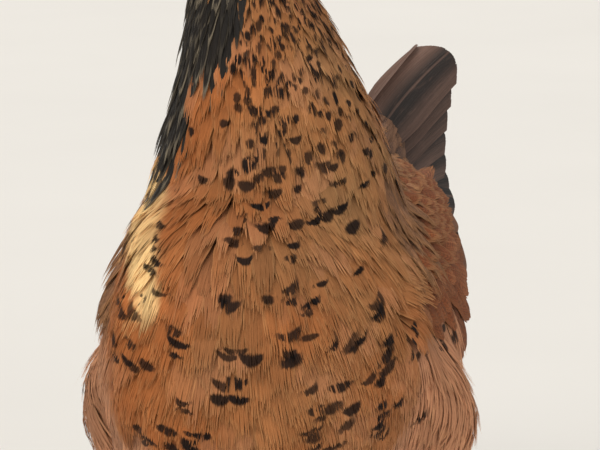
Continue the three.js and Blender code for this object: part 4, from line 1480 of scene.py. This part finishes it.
def tail_feathers():
    """The folded fan of the tail: two halves that meet along the top like a roof."""
    paths, ups, mauves = [], [], []
    s = np.linspace(0, 1, 2 * PATH_STEPS + 1)[:, None]
    for side, mirror in SIDES:
        for i in range(TAIL_PAIRS):
            share = i / (TAIL_PAIRS - 1)
            spread = math.radians(TAIL_SPREAD[side] + 9 * share * share)
            tilt = math.radians(TAIL_TILT[side] - 24 * share)
            turn = (
                Matrix.Rotation(-TAIL_SWING * (1 - share) ** 1.6, 3, "Z")
                @ Matrix.Rotation(-mirror * spread, 3, "Z")
                @ Matrix.Rotation(between(TAIL_RISE, share), 3, "X")
                @ Matrix.Rotation(-mirror * tilt, 3, "Y")
            )
            ahead, face, ridge = (
                np.array(turn @ Vector(axis)) for axis in ((0, 1, 0), (mirror, 0, 0), (0, 0, 1))
            )
            length = TAIL_LENGTH * (1 - 0.14 * share * share)
            start = TAIL_ROOT + np.array([mirror * (0.003 + 0.012 * share), 0, 0.016 - 0.024 * share])
            start = start + (np.array([-0.5, 0, 0.6]) - ridge) * ROOF_GAP * (1 - share)
            bend = -face * 0.007 * s**2 + ridge * 0.004 * np.sin(s * np.pi)
            paths.append(start + ahead * length * s + bend)
            ups.append(np.broadcast_to(face, (len(s), 3)))
            mauves.append(TAIL_MAUVE[side] * (1 - share) ** 2)
    count = len(paths)
    looks = plain_looks(count, mauve=np.array(mauves))
    half = np.full(count, 0.0165)
    patch = np.stack([np.linspace(0.1, 0.9, count), np.full(count, 0.5)], -1)
    made = vanes(np.array(paths), np.array(ups), half, "quill", looks, patch, SLATE_KIND)
    # The two highest feathers of the first half are mauve toward the ridge
    attributes = made["attributes"]
    in_first_two = np.arange(len(attributes["mauve"])) < len(attributes["mauve"]) * 2 / count
    toward_ridge = smoothstep(0.0, -0.7, attributes["across"]) * in_first_two
    attributes["mauve"] = np.maximum(attributes["mauve"], 0.9 * toward_ridge)
    return made


GOLDEN_SHARE = 0.618034  # steps of this share of a range spread evenly over it
COVERTS_OVER = 96
COVERTS_UNDER = 84


def round_tail_root(turn, back):
    """Places on the soft form that closes round the tail's root, at turns round it and distances back."""
    share = np.clip(back / 0.092, 0, 1)
    taper = np.sqrt(1 - 0.94 * share**2)
    wide = (0.036 - 0.016 * share) * taper - 0.005
    tall = np.where(np.sin(turn) > 0, 0.040, 0.046) * taper - 0.005
    x = 0.04 * back + wide * np.cos(turn)
    return TAIL_ROOT + np.stack([x, back - 0.006, 0.28 * back - 0.006 + tall * np.sin(turn)], -1)


def closing_coverts(style, kind, looks, turns, backs, lengths, half):
    """Feathers that lie back over the tail's root, spread over spans of turns round it, backs and lengths."""
    count = len(looks["shade"])
    share = (np.arange(count) + 0.5) / count
    turn = between(turns, (share * GOLDEN_SHARE * count) % 1)[:, None]
    back = between(backs, 0.9 * share + 0.1 * random.random(count))[:, None]
    length = between(lengths, random.random(count))[:, None]
    s = np.linspace(0, 1, PATH_STEPS + 1)[None, :]
    drift = 0.10 * random.normal(size=(count, 1)) * s
    path = round_tail_root(turn + drift, back + length * s)
    middle = (path + round_tail_root(turn + drift + np.pi, back + length * s)) / 2
    ups = unit(path - middle)
    path = path + ups * (0.001 + 0.003 * s * (1 - share[:, None]))[..., None]
    patch = np.stack([0.1 + 0.8 * share, 0.3 + 0.2 * np.sin(turn[:, 0])], -1)
    return vanes(path, ups, np.full(count, half), style, looks, patch, kind)


def tail_coverts():
    """The pencilled coverts over the tail's root, and the soft ones under it."""
    mauve = 0.6 + 0.4 * random.random(COVERTS_OVER)
    looks = plain_looks(COVERTS_OVER, warm=0.1, lines=64.0, mauve=mauve, barred=0.62, laced=0.16)
    looks["shade"] *= 0.76
    turns, backs, lengths = (-0.45, np.pi + 0.45), (0.044, 0.0), (0.042, 0.050)
    over = closing_coverts("covert", BROWN_KIND, looks, turns, backs, lengths, 0.0068)
    looks = plain_looks(COVERTS_UNDER, warm=0.5, fluff=0.6 + 0.4 * random.random(COVERTS_UNDER))
    looks["shade"] *= 0.92
    turns, backs, lengths = (np.pi, 2 * np.pi), (0.050, 0.0), (0.036, 0.042)
    under = closing_coverts("breast", BUFF_KIND, looks, turns, backs, lengths, 0.0090)
    return [over, under]


coat_piece("coat_tail", [tail_feathers(), *tail_coverts()], ["tail"])

# ---- the head's small feathers ----

HEAD_ROUNDNESS = 0.017  # the radius of the curve that the crown's feathers bend along


def head_coat():
    """The small feathers of the head, which lie back from the face and lengthen into the neck's coat."""
    z = head_middles[:, 2]
    spacing = blend_values(z, [HEAD_LOW[2], HEAD_LOW[2] + 0.016], [0.0032, 0.0021])
    allowed = (face_share(head_middles) < 0.3) & (z > HEAD_LOW[2] + 0.001)
    roots, faces = scattered(head, spacing, allowed.astype(float))
    count = len(roots)
    normals = head.normal_at(roots, faces)
    parts = np.full(count, "neck", dtype=face_parts.dtype)
    marks = markings(roots, parts)
    low = smoothstep(HEAD_MIDDLE[2] - 0.004, HEAD_LOW[2] + 0.002, roots[:, 2])
    back = -LOOK + np.array([0, 0, -0.55])
    wish = back * (1 - low[:, None]) + np.array([0, 0, -1.0]) * low[:, None]
    heading = along_surface(wish + 0.12 * random.normal(size=roots.shape), normals)
    length = 0.0065 + 0.0030 * smoothstep(0.0, 0.02, (roots - HEAD_MIDDLE) @ -LOOK) + 0.012 * low
    length = length * (1 + 0.15 * random.normal(size=count))
    kinds = np.where(random.random(count) < marks["black"], BLACK_KIND, BUFF_KIND)
    looks = plain_looks(count, warm=marks["warm"], gold=0.1)
    half = 0.0011 + 0.0012 * low
    patches = head.face_uv[faces]

    steps = np.linspace(0, 1, PATH_STEPS + 1)[None, :, None]
    long = length[:, None, None]
    path = roots[:, None, :] + heading[:, None, :] * long * steps
    droop = long**2 / (2 * HEAD_ROUNDNESS)
    path = path + normals[:, None, :] * (0.0002 + 0.0014 * steps - droop * steps**2)
    ups = np.broadcast_to(normals[:, None, :], path.shape)
    top = low < 0.15
    crown = vanes(path[top], ups[top], half[top], "crown", picked(looks, top), patches[top], kinds[top])

    lower = ~top
    path, ups = follow_skin(roots[lower], heading[lower], length[lower], parts[lower])
    path = raised(path, ups, 0.0016 + 0.0022 * low[lower], np.zeros(lower.sum()))
    collar = vanes(path, ups, half[lower], "throat", picked(looks, lower), patches[lower], kinds[lower])
    coat_piece("coat_head", [crown, collar], ["head"])


head_coat()

# ---- bare and horny parts of the head and feet ----


def nostril_share(points):
    """1 in the slit of each nostril, low on the base of the upper beak, 0 elsewhere."""
    offset = points - (middle_of("beak_upper") - 0.0045 * LOOK + np.array([0, 0, 0.0008]))
    return smoothstep(0.0011, 0.0005, np.hypot(offset @ LOOK / 2.1, offset[:, 2]))


def drawn_to_tip(points):
    """Draws the last few millimetres of the beak in to a rounded point."""
    out = (points - HEAD_MIDDLE) @ LOOK
    tip = out.max()
    end = points[out > tip - 0.0012].mean(0) - np.array([0, 0, 0.0003])
    aside = points - end
    aside -= np.outer(aside @ LOOK, LOOK)
    return points - aside * (0.72 * smoothstep(tip - 0.0065, tip, out) ** 1.5)[:, None]


def refined(node, name, material, voxel, rounds, swell=0.0, pebble=0.0, nostrils=False):
    """A finer, rounder piece in place of a solid part: pebble is how high small bumps stand on it."""
    points, quads = voxel_arrays([node], voxel, 0)
    points = smoothed(points, quads, rounds)
    if node.startswith("beak"):
        points = drawn_to_tip(points)
    normals = point_normals(points, quads)
    hole = nostril_share(points) if nostrils else np.zeros(len(points))
    points = points + normals * (swell + pebble * ripple(points, 1500, 1.0) - 0.0007 * hole)[:, None]
    dress(piece_from_arrays(name, points, quads, {"hole": hole}, [material]), [node])


refined("comb", "comb_skin", COMB_SKIN, 0.0009, 3, swell=0.0004, pebble=0.00012)
beak_low, beak_high = (corner.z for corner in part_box("beak_upper"))
beak_tall = beak_high - beak_low
BEAK_HORN = horn_material("beak horn", beak_low + 0.35 * beak_tall, beak_high + 0.1 * beak_tall)
refined("beak_upper", "beak_upper_horn", BEAK_HORN, 0.0005, 2, nostrils=True)
refined("beak_lower", "beak_lower_horn", BEAK_HORN, 0.0006, 2)
for side, _ in SIDES:
    wattle, lobe = f"wattle_skin_{side}", f"earlobe_skin_{side}"
    refined(f"wattle_{side}", wattle, COMB_SKIN, 0.0007, 3, swell=0.0005, pebble=0.0001)
    refined(f"earlobe_{side}", lobe, LOBE_SKIN, 0.0007, 2, swell=0.0003, pebble=0.0001)
    for toe in TOES:
        refined(f"claw_{side}_{toe}", f"claw_horn_{side}_{toe}", CLAW_HORN, 0.0006, 1)


IRIS_ANGLE = 0.85  # how far the iris reaches from the middle of the eye, in radians


def ring_quads(rings, around):
    """The faces between rings of points, each joined to the next."""
    index = np.arange(rings * around).reshape(rings, around)
    after = np.roll(index, -1, 1)
    return np.stack([index[:-1], index[1:], after[1:], after[:-1]], -1).reshape(-1, 4)


def eyeball(side, mirror):
    """The eye with its pupil and iris, and a small bulge over them."""
    low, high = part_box(f"eye_{side}")
    radius = (high.z - low.z) / 2
    outward = Vector(LOOK_LEFT * mirror + LOOK * 0.22).normalized()
    rows, sides = 24, 32
    angle, spoke = np.meshgrid(
        np.linspace(0, math.pi, rows + 1), np.linspace(0, 2 * math.pi, sides, endpoint=False), indexing="ij"
    )
    bulge = 1 + 0.06 * np.exp(-((angle / 0.5) ** 2))
    local = np.stack([np.sin(angle) * np.cos(spoke), np.sin(angle) * np.sin(spoke), np.cos(angle)], -1)
    turn = np.array(outward.to_track_quat("Z", "Y").to_matrix())
    points = (local * (radius * 0.985 * bulge)[..., None]) @ turn.T + EYES[side]
    quads = ring_quads(rows + 1, sides)
    attributes = {"ring": (angle / IRIS_ANGLE).ravel(), "spoke": (spoke * 3).ravel()}
    made = piece_from_arrays(f"eyeball_{side}", points.reshape(-1, 3), quads, attributes, [EYE_GLOSS])
    dress(made, [f"eye_{side}"])
    return outward, radius


# The lids' profile from the opening outwards: the share of the eye's radius from the middle of the
# opening, and how far it stands over the eyeball's own curve there, in the same shares
LID_PROFILE = (
    (0.70, -0.04),
    (0.70, 0.03),
    (0.74, 0.09),
    (0.81, 0.11),
    (0.89, 0.07),
    (0.95, 0.02),
    (1.02, 0.03),
    (1.10, 0.05),
)
# The last rings lie on the face: their shares of the radius, and how far they are sunk into it
LID_SKIRT = ((1.30, -0.0004), (1.45, 0.0006))


def eyelids(side, outward, radius):
    """A folded ring of bare skin round the eye that runs from its opening out onto the face."""
    around = 56
    turn = np.array(outward.to_track_quat("Z", "Y").to_matrix())
    up = unit(turn[2, :2])
    aside = np.array([up[1], -up[0]])
    theta = np.linspace(0, 2 * math.pi, around, endpoint=False)
    corner = 1 + 0.10 * np.abs(np.cos(theta)) ** 6
    rings = []
    for reach, stand in LID_PROFILE:
        flat = np.outer(np.cos(theta) * corner, aside) + np.outer(0.88 * np.sin(theta), up)
        flat = flat * reach * radius
        off = np.linalg.norm(flat, axis=1)
        height = np.sqrt(np.maximum(radius**2 - off**2, (0.30 * radius) ** 2))
        wrinkle = 0.010 * radius * np.sin(theta * 23 + 9 * reach)
        rings.append(np.column_stack([flat, height + stand * radius + wrinkle]) @ turn.T + EYES[side])
    for reach, sunk in LID_SKIRT:
        flat = np.outer(np.cos(theta), aside) + np.outer(np.sin(theta), up)
        place = np.column_stack([flat * reach * radius, np.full(around, 0.5 * radius)]) @ turn.T + EYES[side]
        found, normals, _ = head.nearest(place)
        rings.append(found - normals * sunk)
    quads = ring_quads(len(rings), around)[:, [0, 3, 2, 1]]
    made = piece_from_arrays(f"eyelids_{side}", np.concatenate(rings), quads, {}, [FACE_SKIN])
    dress(made)


for side, mirror in SIDES:
    eyelids(side, *eyeball(side, mirror))

# ---- floor, light and camera ----

FLOOR_HALF = 14.0
FLOOR_STEPS = 9


def floor_material():
    look = Look("pale floor", 0.75)
    where = look.add("ShaderNodeTexCoord").outputs["Object"]
    cloud = look.noise(where, 3.0, 4.0)
    return look.finish(look.lit(FLOOR_WHITE, look.math("MULTIPLY_ADD", cloud, 0.06, 0.95)))


def floor():
    line = np.linspace(-FLOOR_HALF, FLOOR_HALF, FLOOR_STEPS)
    x, y = np.meshgrid(line, line, indexing="ij")
    points = np.stack([x, y, np.zeros_like(x)], -1).reshape(-1, 3)
    index = np.arange(FLOOR_STEPS**2).reshape(FLOOR_STEPS, FLOOR_STEPS)
    quads = np.stack([index[:-1, :-1], index[1:, :-1], index[1:, 1:], index[:-1, 1:]], -1).reshape(-1, 4)
    made = piece_from_arrays("floor", points, quads, {}, [floor_material()])


def soft_light(name, toward, strength, softness, tint):
    """Far, even light that comes from one direction: softness is how wide it looks, in degrees."""
    data = bpy.data.lights.new(name, "SUN")
    data.energy = strength
    data.angle = math.radians(softness)
    data.color = tint
    made = bpy.data.objects.new(name, data)
    made.rotation_mode = "QUATERNION"
    made.rotation_quaternion = Vector(toward).to_track_quat("Z", "Y")
    bpy.context.collection.objects.link(made)


def studio():
    """A pale floor that runs on into an equally pale surround, with soft light from three sides."""
    floor()
    soft_light("key", (-0.5, -1.6, 1.9), 1.70, 40, (1.0, 0.95, 0.88))
    soft_light("fill", (1.9, -1.2, 1.0), 0.55, 60, (0.97, 0.98, 1.0))
    soft_light("rim", (-0.5, 1.9, 2.0), 0.8, 30, (1.0, 0.97, 0.90))
    world = bpy.data.worlds.new("studio")
    world.use_nodes = True
    shader = Shader(world.node_tree)
    background = world.node_tree.nodes["Background"]
    background.inputs["Color"].default_value = SURROUND_COLOUR
    seen = shader.add("ShaderNodeLightPath").outputs["Is Camera Ray"]
    strength = shader.math("MULTIPLY_ADD", seen, SURROUND_SEEN - SURROUND_LIGHT, SURROUND_LIGHT)
    shader.wire(background.inputs["Strength"], strength)
    bpy.context.scene.world = world
    bpy.context.scene.view_settings.view_transform = "Standard"


def camera():
    """The view from the front, a little from her left and above."""
    turn, rise = VIEW_TURN, VIEW_RISE
    back = Vector((math.sin(turn) * math.cos(rise), -math.cos(turn) * math.cos(rise), math.sin(rise)))
    right = Vector((math.cos(turn), math.sin(turn), 0))
    size = BIRD_HIGH - BIRD_LOW
    aim = Vector(BIRD_LOW + size * np.array(AIM_SHARE)) + right * VIEW_ASIDE
    data = bpy.data.cameras.new("view")
    data.lens = LENS
    data.clip_start = 0.05
    data.clip_end = 60
    made = bpy.data.objects.new("view", data)
    made.location = aim + back * VIEW_DISTANCE
    made.rotation_mode = "QUATERNION"
    made.rotation_quaternion = (-back).to_track_quat("-Z", "Y")
    bpy.context.collection.objects.link(made)
    bpy.context.scene.camera = made


studio()
camera()
